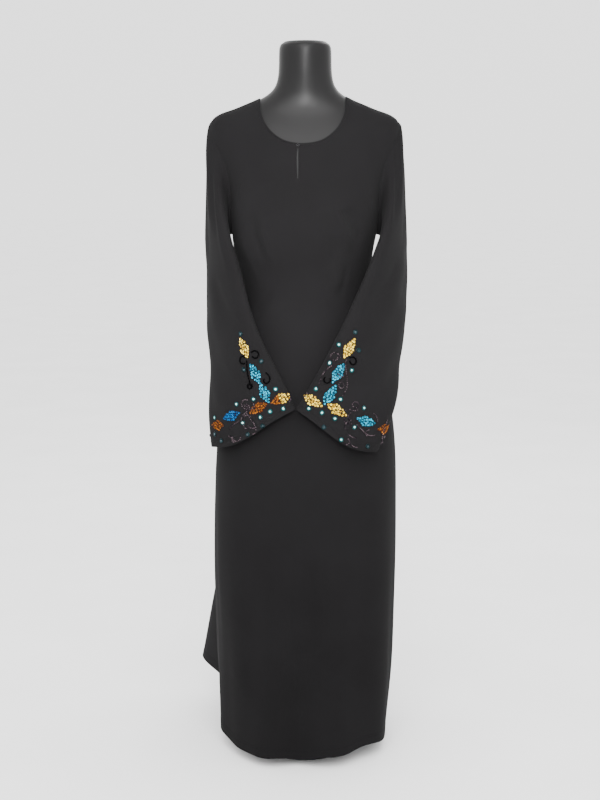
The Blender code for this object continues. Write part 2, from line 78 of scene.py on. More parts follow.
# Dress form: height, half width, front depth, back depth, squareness of the section
FORM_SECTIONS = (
    (0.690, 0.146, 0.096, 0.110, 2.2),
    (0.705, 0.158, 0.106, 0.120, 2.2),
    (0.770, 0.164, 0.112, 0.128, 2.2),
    (0.860, 0.144, 0.100, 0.110, 2.2),
    (0.985, 0.113, 0.084, 0.080, 2.15),
    (1.050, 0.124, 0.098, 0.086, 2.15),
    (1.125, 0.143, 0.121, 0.094, 2.2),
    (1.190, 0.151, 0.113, 0.100, 2.3),
    (1.250, 0.164, 0.097, 0.101, 2.4),
    (1.300, 0.181, 0.080, 0.093, 2.4),
    (1.322, 0.187, 0.070, 0.083, 2.35),
    (1.338, 0.185, 0.063, 0.075, 2.3),
    (1.350, 0.172, 0.057, 0.068, 2.2),
    (1.362, 0.148, 0.052, 0.062, 2.1),
    (1.374, 0.120, 0.050, 0.057, 2.0),
    (1.386, 0.091, 0.049, 0.053, 2.0),
    (1.398, 0.070, 0.049, 0.051, 2.0),
    (1.412, 0.059, 0.050, 0.051, 2.0),
    (1.440, 0.054, 0.052, 0.052, 2.0),
    (1.484, 0.053, 0.053, 0.053, 2.0),
    (1.495, 0.050, 0.050, 0.050, 2.0),
    (1.501, 0.042, 0.042, 0.042, 2.0),
)

# Hanging cloth: height, half width, front depth, back depth, squareness, sideways shift
CLOTH_SECTIONS = (
    (0.018, 0.182, 0.151, 0.196, 2.2, -0.004),
    (0.200, 0.190, 0.150, 0.184, 2.2, 0.0),
    (0.400, 0.195, 0.148, 0.172, 2.2, 0.001),
    (0.600, 0.193, 0.146, 0.163, 2.2, 0.002),
    (0.700, 0.187, 0.141, 0.158, 2.2, 0.003),
    (0.780, 0.177, 0.134, 0.150, 2.2, 0.002),
    (0.860, 0.158, 0.125, 0.134, 2.2, 0.0),
    (0.930, 0.140, 0.116, 0.115, 2.2, 0.0),
    (0.990, 0.131, 0.111, 0.101, 2.2, 0.0),
    (1.045, 0.137, 0.118, 0.098, 2.2, -0.002),
    (1.085, 0.1455, 0.126, 0.101, 2.2, -0.004),
    (1.125, 0.1515, 0.130, 0.104, 2.2, -0.002),
    (1.190, 0.157, 0.121, 0.107, 2.3, 0.0),
    (1.260, 0.170, 0.103, 0.108, 2.4, 0.0),
)
REST_FROM, REST_FULL = 1.150, 1.225

# Large skirt folds: azimuth and half spread in degrees, reach at the hem, height where the fold starts
SKIRT_FOLDS = (
    (-30, 13, 0.011, 0.66),
    (26, 14, 0.011, 0.62),
    (-4, 10, -0.012, 0.55),
    (62, 12, 0.008, 0.50),
    (-66, 12, -0.008, 0.60),
    (112, 11, 0.014, 0.70),
    (145, 12, 0.030, 0.80),
    (128, 8, -0.010, 0.60),
    (176, 12, 0.034, 0.82),
    (-162, 9, -0.016, 0.70),
    (-112, 9, -0.012, 0.50),
)
FOLD_GROWTH = 1.4

# The back fold that swings out: azimuth, half spread and half spread of its lifted hem in degrees,
# height where it starts, reach and rise at the hem
SWEEP_AZIMUTH, SWEEP_SPREAD, SWEEP_RISE_SPREAD = -139, 13, 34
SWEEP_TOP, SWEEP_REACH, SWEEP_RISE = 0.72, 0.157, 0.085

# Sleeves below the armhole: back fold x, y, z; front fold x, y, z; bow of the cloth between them;
# hollow between its two layers
SLEEVE_RIGHT = (
    (-0.199, 0.058, 1.090, -0.151, -0.092, 1.105, 0.008, 0.030),
    (-0.198, 0.050, 1.010, -0.130, -0.109, 1.035, 0.012, 0.033),
    (-0.196, 0.038, 0.930, -0.110, -0.122, 0.965, 0.018, 0.034),
    (-0.189, 0.018, 0.845, -0.083, -0.134, 0.900, 0.026, 0.031),
    (-0.184, -0.012, 0.760, -0.048, -0.142, 0.835, 0.034, 0.027),
    (-0.182, -0.055, 0.674, -0.0187, -0.150, 0.772, 0.034, 0.026),
)
SLEEVE_LEFT = (
    (0.206, 0.058, 1.090, 0.150, -0.094, 1.105, 0.008, 0.030),
    (0.207, 0.050, 1.020, 0.123, -0.110, 1.040, 0.014, 0.033),
    (0.202, 0.036, 0.945, 0.095, -0.124, 0.980, 0.020, 0.036),
    (0.194, 0.008, 0.870, 0.065, -0.136, 0.920, 0.028, 0.036),
    (0.171, -0.052, 0.785, 0.027, -0.144, 0.850, 0.032, 0.033),
    (0.142, -0.118, 0.676, -0.0173, -0.150, 0.772, 0.022, 0.031),
)

# The cuff's sag, where it starts and how lopsided it is, and the rise and width of its corner
CUFF_SAG, CUFF_SAG_FROM, CUFF_SAG_SKEW = 0.018, 0.55, 0.8
CUFF_CORNER, CUFF_CORNER_WIDTH = 0.008, 0.07

# Room between a sleeve and the trunk, how its two layers meet at the folds, and how its cap leaves
# the armhole and arrives
SLEEVE_CLEARANCE, SEAM_STAND, SOFT_PUSH = 0.003, 0.003, 0.006
LAYERS_AT_FOLDS, FOLD_LENGTH = 0.8, 0.026
CAP_HANG, CAP_LEAVE, CAP_LEAVE_AT_TOP, CAP_ARRIVE, CAP_STRETCH = -0.25, 0.35, 0.25, 0.8, 1.1

# A loop of numbers round an armhole and sleeve: share across the sleeve of each, to the front fold
LOOP_SHARES = (0, 0.012, 0.05, 0.12, 0.24, 0.37, 0.5, 0.63, 0.76, 0.88, 0.95, 0.988, 1)
LOOP = 2 * (len(LOOP_SHARES) - 1)
SHOULDER_AT, UNDERARM_AT = LOOP / 4, LOOP * 3 / 4

# Creases of the trunk: azimuth and height of each end, half width, depth (ridges above zero), bend
TRUNK_CREASES = (
    (24, 1.18, 44, 1.075, 0.009, 0.0062, 0.004),
    (35, 1.175, 53, 1.095, 0.014, -0.0062, 0.004),
    (14, 1.17, 32, 1.06, 0.016, -0.0035, 0.003),
    (27, 1.07, 35, 1.000, 0.024, 0.0045, 0),
    (42, 1.06, 34, 0.985, 0.011, -0.003, 0.002),
    (20, 0.985, 44, 0.93, 0.013, -0.0028, 0.003),
    (-50, 1.17, -34, 1.06, 0.014, -0.0052, -0.004),
    (-40, 1.16, -27, 1.05, 0.01, 0.0034, -0.004),
    (-62, 1.13, -46, 1.02, 0.01, 0.0028, 0),
    (-40, 1.22, -30, 1.13, 0.026, 0.0022, 0),
    (-30, 1.01, -58, 0.945, 0.012, -0.0026, 0.003),
    (-12, 0.985, -36, 0.94, 0.01, 0.0016, 0),
    (2, 1.215, 14, 1.13, 0.018, -0.0012, 0),
    (-20, 1.205, -8, 1.12, 0.016, 0.001, 0),
    (56, 1.24, 66, 1.15, 0.008, 0.0016, 0),
    (-58, 1.245, -66, 1.15, 0.008, 0.0016, 0),
    (112, 1.22, 138, 1.11, 0.012, 0.0022, 0.004),
    (120, 1.15, 150, 1.03, 0.015, -0.003, 0.004),
    (-110, 1.21, -136, 1.1, 0.012, 0.0022, -0.004),
    (-122, 1.15, -152, 1.04, 0.015, -0.0032, 0),
    (170, 1.06, 140, 0.985, 0.013, -0.003, 0.003),
    (-168, 1.04, -138, 0.975, 0.012, -0.0026, 0.003),
    (178, 0.99, 150, 0.94, 0.012, 0.0024, 0),
    (96, 1.05, 118, 0.96, 0.012, -0.0026, 0),
    (-98, 1.04, -122, 0.95, 0.012, -0.0024, 0),
    (-52, 0.76, -55, 0.03, 0.026, 0.0022, 0.004),
    (-39, 0.78, -38, 0.02, 0.024, -0.0042, -0.004),
    (-20, 0.74, -18, 0.1, 0.026, 0.0022, 0.006),
    (-12, 0.62, -11, 0.01, 0.02, 0.0016, -0.003),
    (3, 0.6, 5, 0.01, 0.02, -0.003, 0.005),
    (13, 0.6, 15, 0.05, 0.018, 0.0016, -0.004),
    (33, 0.66, 37, 0.01, 0.022, -0.0026, 0.005),
    (50, 0.72, 52, 0.01, 0.026, 0.002, 0.004),
    (76, 0.7, 79, 0.01, 0.022, -0.0026, -0.004),
    (96, 0.78, 99, 0.01, 0.016, -0.0055, 0.004),
    (122, 0.84, 126, 0.01, 0.012, -0.0035, 0),
    (157, 0.86, 160, 0.01, 0.016, -0.0075, 0.005),
    (-172, 0.84, -172, 0.01, 0.014, -0.005, 0.004),
    (-150, 0.8, -152, 0.12, 0.018, 0.005, -0.005),
    (-124, 0.76, -121, 0.06, 0.016, -0.006, 0.004),
    (-98, 0.72, -97, 0.01, 0.017, 0.0045, -0.003),
    (-82, 0.66, -80, 0.01, 0.022, -0.0026, 0.003),
    (-60, 0.86, -40, 0.78, 0.012, -0.0022, 0.002),
    (58, 0.88, 40, 0.8, 0.012, -0.0022, 0.002),
)
TRUNK_RADIUS = 0.155
TRUNK_SCALE = (math.radians(1) * TRUNK_RADIUS, 1.0)
LOWEST_HANGING, LOWEST_RESTING, LIMIT_SOFTNESS = -0.011, -0.0010, 0.0005

# How a crease's width and depth waver: share, radians along it, radians from one crease to the next
WIDTH_WAVE, DEPTH_WAVE = (0.25, 3.3, 1.0), (0.28, 5.1, 1.7)
CREASE_END = 0.3
SEAM_DIP, SEAM_DIP_WIDTH, SIDE_RADIUS = 0.0006, 0.0028, 0.17

# Waves of the slack cloth: number round the trunk, radians per metre of height, depth, start
SLACK_WAVES = (
    (3, 9.0, 0.0007, 0.4),
    (5, -14.0, 0.0006, 2.1),
    (8, 17.0, 0.0004, 4.4),
    (2, 23.0, 0.0004, 1.2),
)
# Waves of the hem: number round it, rise, start
HEM_WAVES = ((3, 0.0012, 0.5), (7, 0.0010, 2.0), (12, 0.0006, 4.0))
HEM_WAVE_TOP = 0.30

# Where the hem rises: azimuth and spread in degrees, rise
HEM_LIFTS = ((-84, 20, 0.014), (58, 26, 0.012), (0, 60, 0.006), (-3, 12, -0.0110))

# Creases of a sleeve: place round it and along it of each end, half width, depth, bend. Round it, 0 is
# the back fold, 1 the front fold and 2 the back fold again. Along it, -0.5 is the armhole, 1 the cuff.
SLEEVE_CREASES = (
    (0.3, -0.4, 0.18, 0.12, 0.02, 0.002, 0.004),
    (0.46, -0.38, 0.42, 0.12, 0.02, -0.0018, 0.003),
    (0.62, -0.42, 0.64, -0.02, 0.016, 0.0018, -0.003),
    (0.78, -0.4, 0.84, 0.02, 0.015, -0.0024, 0.003),
    (0.88, -0.3, 0.9, 0.2, 0.009, 0.002, 0),
    (0.12, 0.05, 0.34, 0.42, 0.024, -0.0018, 0.005),
    (0.28, 0.1, 0.6, 0.52, 0.026, 0.0022, 0.006),
    (0.52, 0.16, 0.86, 0.5, 0.014, -0.0026, 0.004),
    (0.1, 0.36, 0.3, 0.74, 0.026, 0.0018, 0.004),
    (0.3, 0.46, 0.62, 0.88, 0.026, -0.0024, 0.005),
    (0.5, 0.6, 0.84, 0.96, 0.013, 0.0022, -0.003),
    (0.18, 0.7, 0.34, 1.05, 0.022, -0.002, 0.003),
    (0.4, 0.8, 0.5, 1.06, 0.014, 0.0026, 0),
    (1.2, -0.3, 1.4, 0.3, 0.016, -0.0024, 0.003),
    (1.5, 0.1, 1.36, 0.6, 0.018, -0.0022, 0.004),
    (1.66, -0.2, 1.8, 0.4, 0.014, -0.0026, 0.003),
    (1.6, 0.5, 1.74, 0.95, 0.016, -0.0024, 0.003),
)
# Metres for 1 round and along a sleeve, shift of the creases on each side, and how far those of the
# inner layer stand out. Places along it of the first two rings, and of the creases' start and its length
SLEEVE_SCALE = (0.20, 0.39)
SLEEVE_CREASE_DRIFT = {-1: (0.0, 0.0), 1: (-0.05, 0.07)}
INNER_LAYER_REACH = 0.0012
ARMHOLE_AT, STOOD_AT, CREASES_FROM, CREASES_OVER = -0.5, -0.492, -0.49, 0.12

# Folded edges: widths of the folds, the step that they make and its width, and how the stitches sink in
# at their share of a fold's width
HEM_FOLD, CUFF_FOLD, NECK_FOLD = 0.022, 0.012, 0.008
FOLD_STEP, FOLD_STEP_WIDTH = 0.0004, 0.0012
STITCH_PLACE, STITCH_SINK, STITCH_SINK_WIDTH = 0.82, 0.00045, 0.0009
STITCH_LENGTH, STITCH_PITCH, STITCH_RADIUS, STITCH_RISE, STITCH_SIDES = 0.0024, 0.0034, 0.00022, 0.4, 6
STITCH_PROFILE = ((0.3, -1), (1, -0.6), (1, 0.6), (0.3, 1))

# Sequin diamonds, charted for each sleeve: place along it and round it, which way one lies, its colour
# or the colours of its two ends
DIAMONDS = {
    "right": (
        (0.595, 0.825, "sleeve", "yellow"),
        (0.735, 0.825, "sleeve", "turquoise"),
        (0.845, 0.830, "sleeve", "turquoise"),
        (0.910, 0.930, "cuff", "copper", "yellow"),
        (0.900, 0.730, "cuff", "copper"),
        (0.875, 0.460, "cuff", "blue"),
        (0.900, 0.240, "cuff", "copper"),
    ),
    "left": (
        (0.655, 0.870, "sleeve", "yellow"),
        (0.780, 0.845, "sleeve", "turquoise"),
        (0.875, 0.805, "sleeve", "turquoise"),
        (0.930, 0.910, "cuff", "yellow"),
        (0.910, 0.680, "cuff", "yellow"),
        (0.900, 0.360, "cuff", "turquoise"),
        (0.920, 0.090, "cuff", "copper"),
    ),
}
HIDDEN_DIAMONDS = (
    (0.920, 1.18, "cuff", "yellow"),
    (0.915, 1.42, "cuff", "turquoise"),
    (0.910, 1.64, "cuff", "copper"),
    (0.910, 1.86, "cuff", "blue"),
)

# Rhinestones by kind: place along the sleeve and round it
RHINESTONES = {
    "right": {
        "clear": (
            (0.850, 0.925), (0.850, 0.725), (0.835, 0.545), (0.965, 0.915), (0.945, 0.810),
            (0.945, 0.715), (0.925, 0.550), (0.865, 0.215),
        ),
        "smoky": (
            (0.515, 0.845), (0.685, 0.925), (0.990, 0.705), (0.985, 0.555), (0.940, 0.170),
            (0.970, 0.245), (0.700, 0.735),
        ),
    },
    "left": {
        "clear": (
            (0.650, 0.965), (0.750, 0.955), (0.750, 0.750), (0.880, 0.940), (0.870, 0.700),
            (0.965, 0.900), (0.950, 0.780), (0.940, 0.655), (0.860, 0.455), (0.930, 0.450),
            (0.990, 0.505),
        ),
        "smoky": (
            (0.565, 0.890), (0.655, 0.780), (0.990, 0.700), (0.980, 0.210),
        ),
    },
}
HIDDEN_RHINESTONES = {
    "clear": (
        (0.960, 1.08), (0.870, 1.08), (0.965, 1.30), (0.965, 1.53), (0.870, 1.53), (0.870, 1.75),
        (0.960, 1.95), (0.870, 1.95),
    ),
    "smoky": (
        (0.870, 1.30), (0.965, 1.75),
    ),
}

# Bead scrolls by kind of bead: place along and round, heading in degrees from down the sleeve, length,
# turn at start and end per metre. The near-black kind is real black beadwork partly painted as shade: the
# curls that lie in shade, drawn darker than the cloth and with almost no reflection. The lit curls are
# the smoky kind.
SCROLLS = {
    "right": {
        "shaded_jet": (
            (0.625, 0.885, 118, 0.038, -108, -163), (0.640, 0.795, -151, 0.034, 120, 150),
            (0.665, 0.800, -30, 0.052, 10, 12), (0.775, 0.725, -71, 0.034, 180, 230),
            (0.750, 0.915, 27, 0.042, -20, -220),
        ),
        "smoky": (
            (0.840, 0.665, -142, 0.034, 98, 110), (0.860, 0.650, -135, 0.034, 177, 190),
            (0.875, 0.640, -60, 0.026, 60, 140), (0.890, 0.610, -80, 0.024, 15, 90),
            (0.910, 0.520, -84, 0.034, 5, 20), (0.955, 0.365, 62, 0.040, -65, 150),
            (0.930, 0.630, 34, 0.022, -33, -60), (0.950, 0.590, 3, 0.024, 76, 90),
            (0.915, 0.990, 76, 0.020, -195, -220), (0.855, 0.620, 100, 0.020, -160, -200),
            (0.885, 0.665, 40, 0.022, 140, 180), (0.905, 0.585, 150, 0.018, -150, -190),
            (0.930, 0.560, -60, 0.020, 120, 160), (0.965, 0.420, -120, 0.020, 160, 200),
            (0.970, 0.630, 60, 0.022, -120, -170),
        ),
    },
    "left": {
        "shaded_jet": (
            (0.815, 0.880, -61, 0.032, 140, 165), (0.700, 0.825, -160, 0.042, 96, 179),
        ),
        "smoky": (
            (0.710, 0.905, 155, 0.050, -98, -168), (0.755, 0.920, 38, 0.050, -25, -17),
            (0.715, 0.840, -2, 0.068, -49, 64), (0.810, 0.775, 68, 0.034, -150, -200),
            (0.865, 0.580, -206, 0.038, 145, 175), (0.885, 0.575, -78, 0.020, -59, -80),
            (0.895, 0.555, 57, 0.024, -136, -136), (0.925, 0.575, -26, 0.024, -97, -97),
            (0.920, 0.440, -88, 0.056, 27, -50), (0.890, 0.120, -3, 0.062, 0, -40),
            (0.960, 0.470, -68, 0.024, -32, -32), (0.985, 0.415, -54, 0.022, -47, -47),
            (0.870, 0.315, -96, 0.024, 58, 58), (0.915, 0.985, -70, 0.020, 195, 220),
            (0.780, 0.790, -30, 0.020, 170, 210), (0.895, 0.610, 110, 0.020, -170, -200),
            (0.915, 0.530, -40, 0.022, 150, 190), (0.935, 0.545, 30, 0.020, -140, -180),
            (0.925, 0.290, 70, 0.020, -130, -170), (0.975, 0.450, -100, 0.022, 150, 180),
        ),
    },
}
HIDDEN_SCROLLS = {
    kind: [(share, place, heading, 0.040, turn, turn / 4)
           for place in places for share, heading, turn in ((0.905, 60, 200), (0.930, -120, 200))]
    for kind, places in (("shaded_jet", (1.53,)), ("smoky", (1.30, 1.75, 1.97)))
}

# Rows of a diamond, distances between its sequins, how loosely the beadwork is set, and its lift
SEQUIN_ROWS = (1, 2, 3, 3, 4, 4, 3, 2, 1)
SEQUIN_PITCH, SEQUIN_STEP, SEQUIN_RADIUS = 0.0056, 0.0051, 0.0022
JITTER, SEQUIN_TILT, STONE_TILT = 0.00055, 0.10, 0.03
LIFT, PATCH_STEP = 0.0002, 0.01
SEED = 11

# Profiles of a sequin, a stone and a stone's rim: share of the radius, height above the cloth. Then the
# number of their sides
SEQUIN_PROFILE = (
    (0.45, 0.0001), (0.45, 0.00024), (0.75, 0.0004), (1, 0.0008), (0.97, 0.00065), (0.75, 0.00016),
)
STONE_PROFILE = ((0.58, 0.0003), (0.58, 0.0010), (0.34, 0.0019), (0.001, 0.0021))
RIM_PROFILE = ((0.55, 0.0), (1.12, 0.0), (1.16, 0.0007), (1.02, 0.0013), (0.57, 0.0012))
STONE_RADIUS = 0.0041
SEQUIN_SIDES, STONE_SIDES, RIM_SIDES, BEAD_SIDES = 10, 9, 20, 8

# Small beads: radius and pitch of each kind, angles of a bead's rings, rise of its middle in radii
BEADS = {"shaded_jet": (0.0016, 0.0028), "smoky": (0.0014, 0.0038)}
BEAD_ANGLES, BEAD_RISE = (0.42, 1.0, 1.57, 2.14, 2.72), 0.9

# The dress form's shell: steps of its rings, closer from its rim up, number of its sides, and rounds of
# smoothing between two heights
FORM_STEP, FORM_RIM, FORM_RIM_STEP, FORM_SIDES = 0.007, 1.484, 0.0015, 160
FORM_SMOOTHING, FORM_SMOOTH_FROM, FORM_SMOOTH_TO = 12, 1.20, 1.47

# The hook's wire: radius, sides and points round a loop. Its two loops: distance from the middle and
# half width as shares of the hook's half width, half height, and how many wire radii they lie forward
HOOK_WIRE, HOOK_SIDES, HOOK_POINTS = 0.00045, 8, 24
HOOK_LOOPS = ((-0.42, 0.52, 0.0016, 0.7), (0.42, 0.52, 0.0012, 1.7))

# Fineness of the shells
SKIRT_STEP, ABOVE_STEP, PANEL_STEP, LEAST_STEP = 0.0095, 0.25, 0.0135, 0.55
CAP_RINGS, SLEEVE_RINGS, LOOP_POINTS = 26, 84, 112
NECK_HALVINGS = 30

# Rows and columns close to the hem, its stitches, a side, the slit and a cuff, as distances from them
NEAR_HEM = (0, 0.0006, 0.0016, 0.005, 0.011)
NEAR_STITCHES = (-0.0065, -0.005, -0.004, -0.003, -0.001, 0.0, 0.001, 0.004)
PAST_STITCHES = 0.012
NEAR_SIDE, NEAR_SLIT = (0, 0.003, 0.008, 0.016), (0, 0.004, 0.010)
NEAR_CUFF = (0.0140, 0.0128, 0.0116, 0.0104, 0.0092, 0.0080, 0.005, 0.002, 0.0008, 0)
PAST_CUFF = 0.004

# Rows under the top one: end of the coarse ones, start, end and step of the fine ones, last but one
COARSE_END, FINE_START, FINE_END, FINE_STEP, LAST_GAP = 0.9, 0.85, 0.05, 0.08, 0.03

# Lines of stitches: columns or rows left out at their ends, distance of the neck's line from the top
# in rows, distance of the slit's lines from its edges, and points along each line
PANEL_END, SLIT_TOP_GAP, SLIT_FOOT_GAP, CUFF_END = 0.6, 0.6, 0.4, 0.01
NECK_STITCH_ROW, SLIT_STITCH_SHARE = 5.4, 0.016
PANEL_POINTS, SLIT_POINTS, CUFF_POINTS = 500, 120, 600
SHARP_ANGLE = math.radians(50)


def smooth(t):
    t = np.clip(t, 0, 1)
    return t * t * (3 - 2 * t)


def bell(distance, width, power=2):
    """1 at no distance, falling away over the width."""
    return np.exp(-((distance / width) ** power))


def curve(t, start, end, leave, arrive):
    """Smooth curve between two values, with the slopes at which it leaves and arrives."""
    return ((2 * t**3 - 3 * t**2 + 1) * start + (3 * t**2 - 2 * t**3) * end
            + (t**3 - 2 * t**2 + t) * leave + (t**3 - t**2) * arrive)


def soft_floor(value, lowest):
    """The value, held above the lowest one with a soft bend."""
    return lowest + LIMIT_SOFTNESS * np.logaddexp(0, (value - lowest) / LIMIT_SOFTNESS)


def vector(x, y, z):
    return np.stack(np.broadcast_arrays(x, y, z), -1).astype(float)


def unit(v):
    return v / np.maximum(np.linalg.norm(v, axis=-1, keepdims=True), 1e-12)


def polar(point):
    """Distance from the upright axis, and azimuth."""
    return np.hypot(point[..., 0], point[..., 1]), np.arctan2(point[..., 0], -point[..., 1])


def square_to(along):
    """Level direction at right angles to another one."""
    return vector(-along[..., 1], along[..., 0], 0)


def turns(count):
    return np.arange(count) * 2 * math.pi / count


def index_at(values, value):
    """Fractional index of a value among rising ones."""
    return np.interp(value, values, np.arange(len(values)))


def read(table, key):
    """The table's other columns at each key of its first one, on smooth curves through its rows."""
    rows = np.array(table, float)
    keys = rows[:, 0]
    slopes = np.empty_like(rows)
    slopes[1:-1] = (rows[2:] - rows[:-2]) / (keys[2:] - keys[:-2])[:, None]
    slopes[0] = (rows[1] - rows[0]) / (keys[1] - keys[0])
    slopes[-1] = (rows[-1] - rows[-2]) / (keys[-1] - keys[-2])
    key = np.clip(key, keys[0], keys[-1])
    i = np.clip(np.searchsorted(keys, key, side="right") - 1, 0, len(keys) - 2)
    step = np.asarray(keys[i + 1] - keys[i])[..., None]
    t = np.asarray(key - keys[i])[..., None] / step
    made = curve(t, rows[i], rows[i + 1], step * slopes[i], step * slopes[i + 1])
    return [made[..., c] for c in range(1, rows.shape[1])]


def section_radius(azimuth, half_width, front, back, squareness):
    """Radius of a rounded section towards an azimuth, counted from the front towards +X."""
    side, ahead = np.abs(np.sin(azimuth)), np.cos(azimuth)
    depth = np.where(ahead > 0, front, back)
    powers = (side / half_width) ** squareness + (np.abs(ahead) / depth) ** squareness
    return powers ** (-1 / squareness)


def form_point(azimuth, height):
    half_width, front, back, squareness = read(FORM_SECTIONS, height)
    radius = section_radius(azimuth, half_width, front, back, squareness)
    return vector(radius * np.sin(azimuth), -radius * np.cos(azimuth), height)


def normal_at(surface, azimuth, height):
    """Outward normal of a surface that is a function of azimuth and height."""
    turn, rise = 0.004, 0.001
    around = surface(azimuth + turn, height) - surface(azimuth - turn, height)
    up = surface(azimuth, height + rise) - surface(azimuth, height - rise)
    return unit(np.cross(around, up))


def near_azimuth(azimuth, degrees, spread, power=2):
    """1 at an azimuth in degrees, falling away over the spread."""
    away = np.abs((azimuth - math.radians(degrees) + math.pi) % (2 * math.pi) - math.pi)
    return bell(away, math.radians(spread), power)


def sweep_fall(height):
    """How far down the fold that swings out behind a height is, from 0 to 1."""
    return np.maximum(0.0, (SWEEP_TOP - height) / (SWEEP_TOP - HEM))


def fold_reach(azimuth, height):
    """How far the skirt's large folds move the cloth outwards."""
    reach = 0.0
    for degrees, spread, depth, top in SKIRT_FOLDS:
        fall = np.maximum(0.0, (top - height) / (top - HEM))
        reach = reach + depth * fall**FOLD_GROWTH * near_azimuth(azimuth, degrees, spread)
    return reach + SWEEP_REACH * sweep_fall(height) * near_azimuth(azimuth, SWEEP_AZIMUTH, SWEEP_SPREAD)


def hanging_point(azimuth, height):
    half_width, front, back, squareness, shift = read(CLOTH_SECTIONS, height)
    radius = section_radius(azimuth, half_width, front, back, squareness) + fold_reach(azimuth, height)
    rise = SWEEP_RISE * sweep_fall(height) * near_azimuth(azimuth, SWEEP_AZIMUTH, SWEEP_RISE_SPREAD, 4)
    return vector(radius * np.sin(azimuth) + shift, -radius * np.cos(azimuth), height + rise)


def resting_share(height):
    return smooth((height - REST_FROM) / (REST_FULL - REST_FROM))


def trunk_point(azimuth, height):
    """Outer face of the front and back: hanging below the bust, resting on the form at the shoulders."""
    form = form_point(azimuth, height)
    ease = TIP_EASE * smooth((np.abs(form[..., 0]) - TIP_EASE_FROM) / TIP_EASE_WIDTH)
    room = (FORM_CLEARANCE + ease + CLOTH)[..., None]
    resting = form + normal_at(form_point, azimuth, height) * room
    share = np.asarray(resting_share(height))[..., None]
    return hanging_point(azimuth, height) * (1 - share) + resting * share


def wavering(wave, t, number):
    """Uneven factor along the crease of that number."""
    share, rate, step = wave
    return 1 + share * np.sin(rate * t + step * number)


def crease_relief(table, across, along, scale, period):
    """Relief of the table's creases at each place. scale turns the table's places into metres."""
    total = np.zeros(np.broadcast(across, along).shape)
    for number, (u0, v0, u1, v1, half_width, depth, bend) in enumerate(table):
        u = ((across - u0 + period / 2) % period - period / 2) * scale[0]
        v = (along - v0) * scale[1]
        du, dv = (u1 - u0) * scale[0], (v1 - v0) * scale[1]
        length = math.hypot(du, dv)
        t = (u * du + v * dv) / length**2
        aside = (v * du - u * dv) / length - bend * 4 * t * (1 - t)
        ends = smooth(t / CREASE_END) * smooth((1 - t) / CREASE_END)
        width = half_width * wavering(WIDTH_WAVE, t, number)
        total += depth * wavering(DEPTH_WAVE, t, number) * ends * bell(aside, width)
    return total


def trunk_relief(azimuth, height):
    """How far creases, slack and the side seams move the trunk's cloth out."""
    around = (azimuth + math.pi) % (2 * math.pi) - math.pi
    relief = crease_relief(TRUNK_CREASES, np.degrees(around), height, TRUNK_SCALE, 360)
    for number, rate, depth, start in SLACK_WAVES:
        relief = relief + depth * np.sin(number * around + rate * height + start)
    lowest = LOWEST_HANGING + (LOWEST_RESTING - LOWEST_HANGING) * resting_share(height)
    from_seam = np.abs(np.abs(around) - math.pi / 2) * SIDE_RADIUS
    return soft_floor(relief, lowest) - SEAM_DIP * bell(from_seam, SEAM_DIP_WIDTH)


def hem_wave(azimuth, height):
    """The hem hangs a little unevenly, and higher at the sides."""
    rise = sum(depth * (1 + np.sin(number * azimuth + start)) for number, depth, start in HEM_WAVES)
    for degrees, spread, lift in HEM_LIFTS:
        rise = rise + lift * near_azimuth(azimuth, degrees, spread)
    return rise * smooth((HEM_WAVE_TOP - height) / (HEM_WAVE_TOP - HEM))


def cloth_point(azimuth, height, extra=0.0):
    """Outer face of the trunk's cloth with its creases."""
    relief = np.asarray(trunk_relief(azimuth, height) + extra)[..., None]
    point = trunk_point(azimuth, height) + normal_at(trunk_point, azimuth, height) * relief
    point[..., 2] += hem_wave(azimuth, height)
    return point


def neck_height(azimuth):
    """Height at which the column at each azimuth meets the neckline."""
    azimuth = np.asarray(azimuth, float)
    drop = np.where(np.cos(azimuth) > 0, FRONT_NECK_DROP, BACK_NECK_DROP)
    low, high = np.full(azimuth.shape, UNDERARM), np.full(azimuth.shape, NECKLINE_LIMIT)
    for _ in range(NECK_HALVINGS):
        middle = (low + high) / 2
        point = trunk_point(azimuth, middle)
        across = np.abs(point[..., 0] - NECK_CENTRE_X) / NECK_HALF_WIDTH
        below = np.maximum(0.0, NECK_POINT - point[..., 2]) / drop
        outside = across**NECK_SQUARENESS + below**NECK_SQUARENESS > 1
        low, high = np.where(outside, middle, low), np.where(outside, high, middle)
    return low


def panel_height(middle_azimuth, share, above):
    """Height of a panel's row above the underarm, which climbs to the shoulder tip at the sides."""
    hair = 1e-6
    reach = math.pi / 2 - hair
    ends = neck_height(middle_azimuth + np.array([-1, 1]) * reach)
    side_top = ends[0] + (ends[1] - ends[0]) * (share + 1) / 2
    at_side = UNDERARM + (SHOULDER_TIP - UNDERARM) * np.minimum(1, above / ARMHOLE_ROWS)
    at_side = at_side + (side_top - SHOULDER_TIP) * np.maximum(0, above - ARMHOLE_ROWS) / SHOULDER_ROWS
    top = neck_height(middle_azimuth + share * reach)
    return UNDERARM + (at_side - UNDERARM) / (side_top - UNDERARM) * (top - UNDERARM)


def armhole_cut(above):
    return ARMHOLE_CUT * np.sin(math.pi * np.clip(above / ARMHOLE_ROWS, 0, 1)) ** ARMHOLE_ROUNDNESS


def edge_fold(distance, width):
    """A folded edge stands a little higher, and its stitch line sinks in."""
    step = FOLD_STEP * smooth((width - distance) / FOLD_STEP_WIDTH + 0.5)
    return step - STITCH_SINK * bell(distance - width * STITCH_PLACE, STITCH_SINK_WIDTH)


def grid_normals(points, wrap, side=1):
    """Outward normals of a grid of points."""
    if wrap:
        around = np.roll(points, -1, 1) - np.roll(points, 1, 1)
    else:
        around = np.gradient(points, axis=1)
    return unit(np.cross(around, np.gradient(points, axis=0))) * side


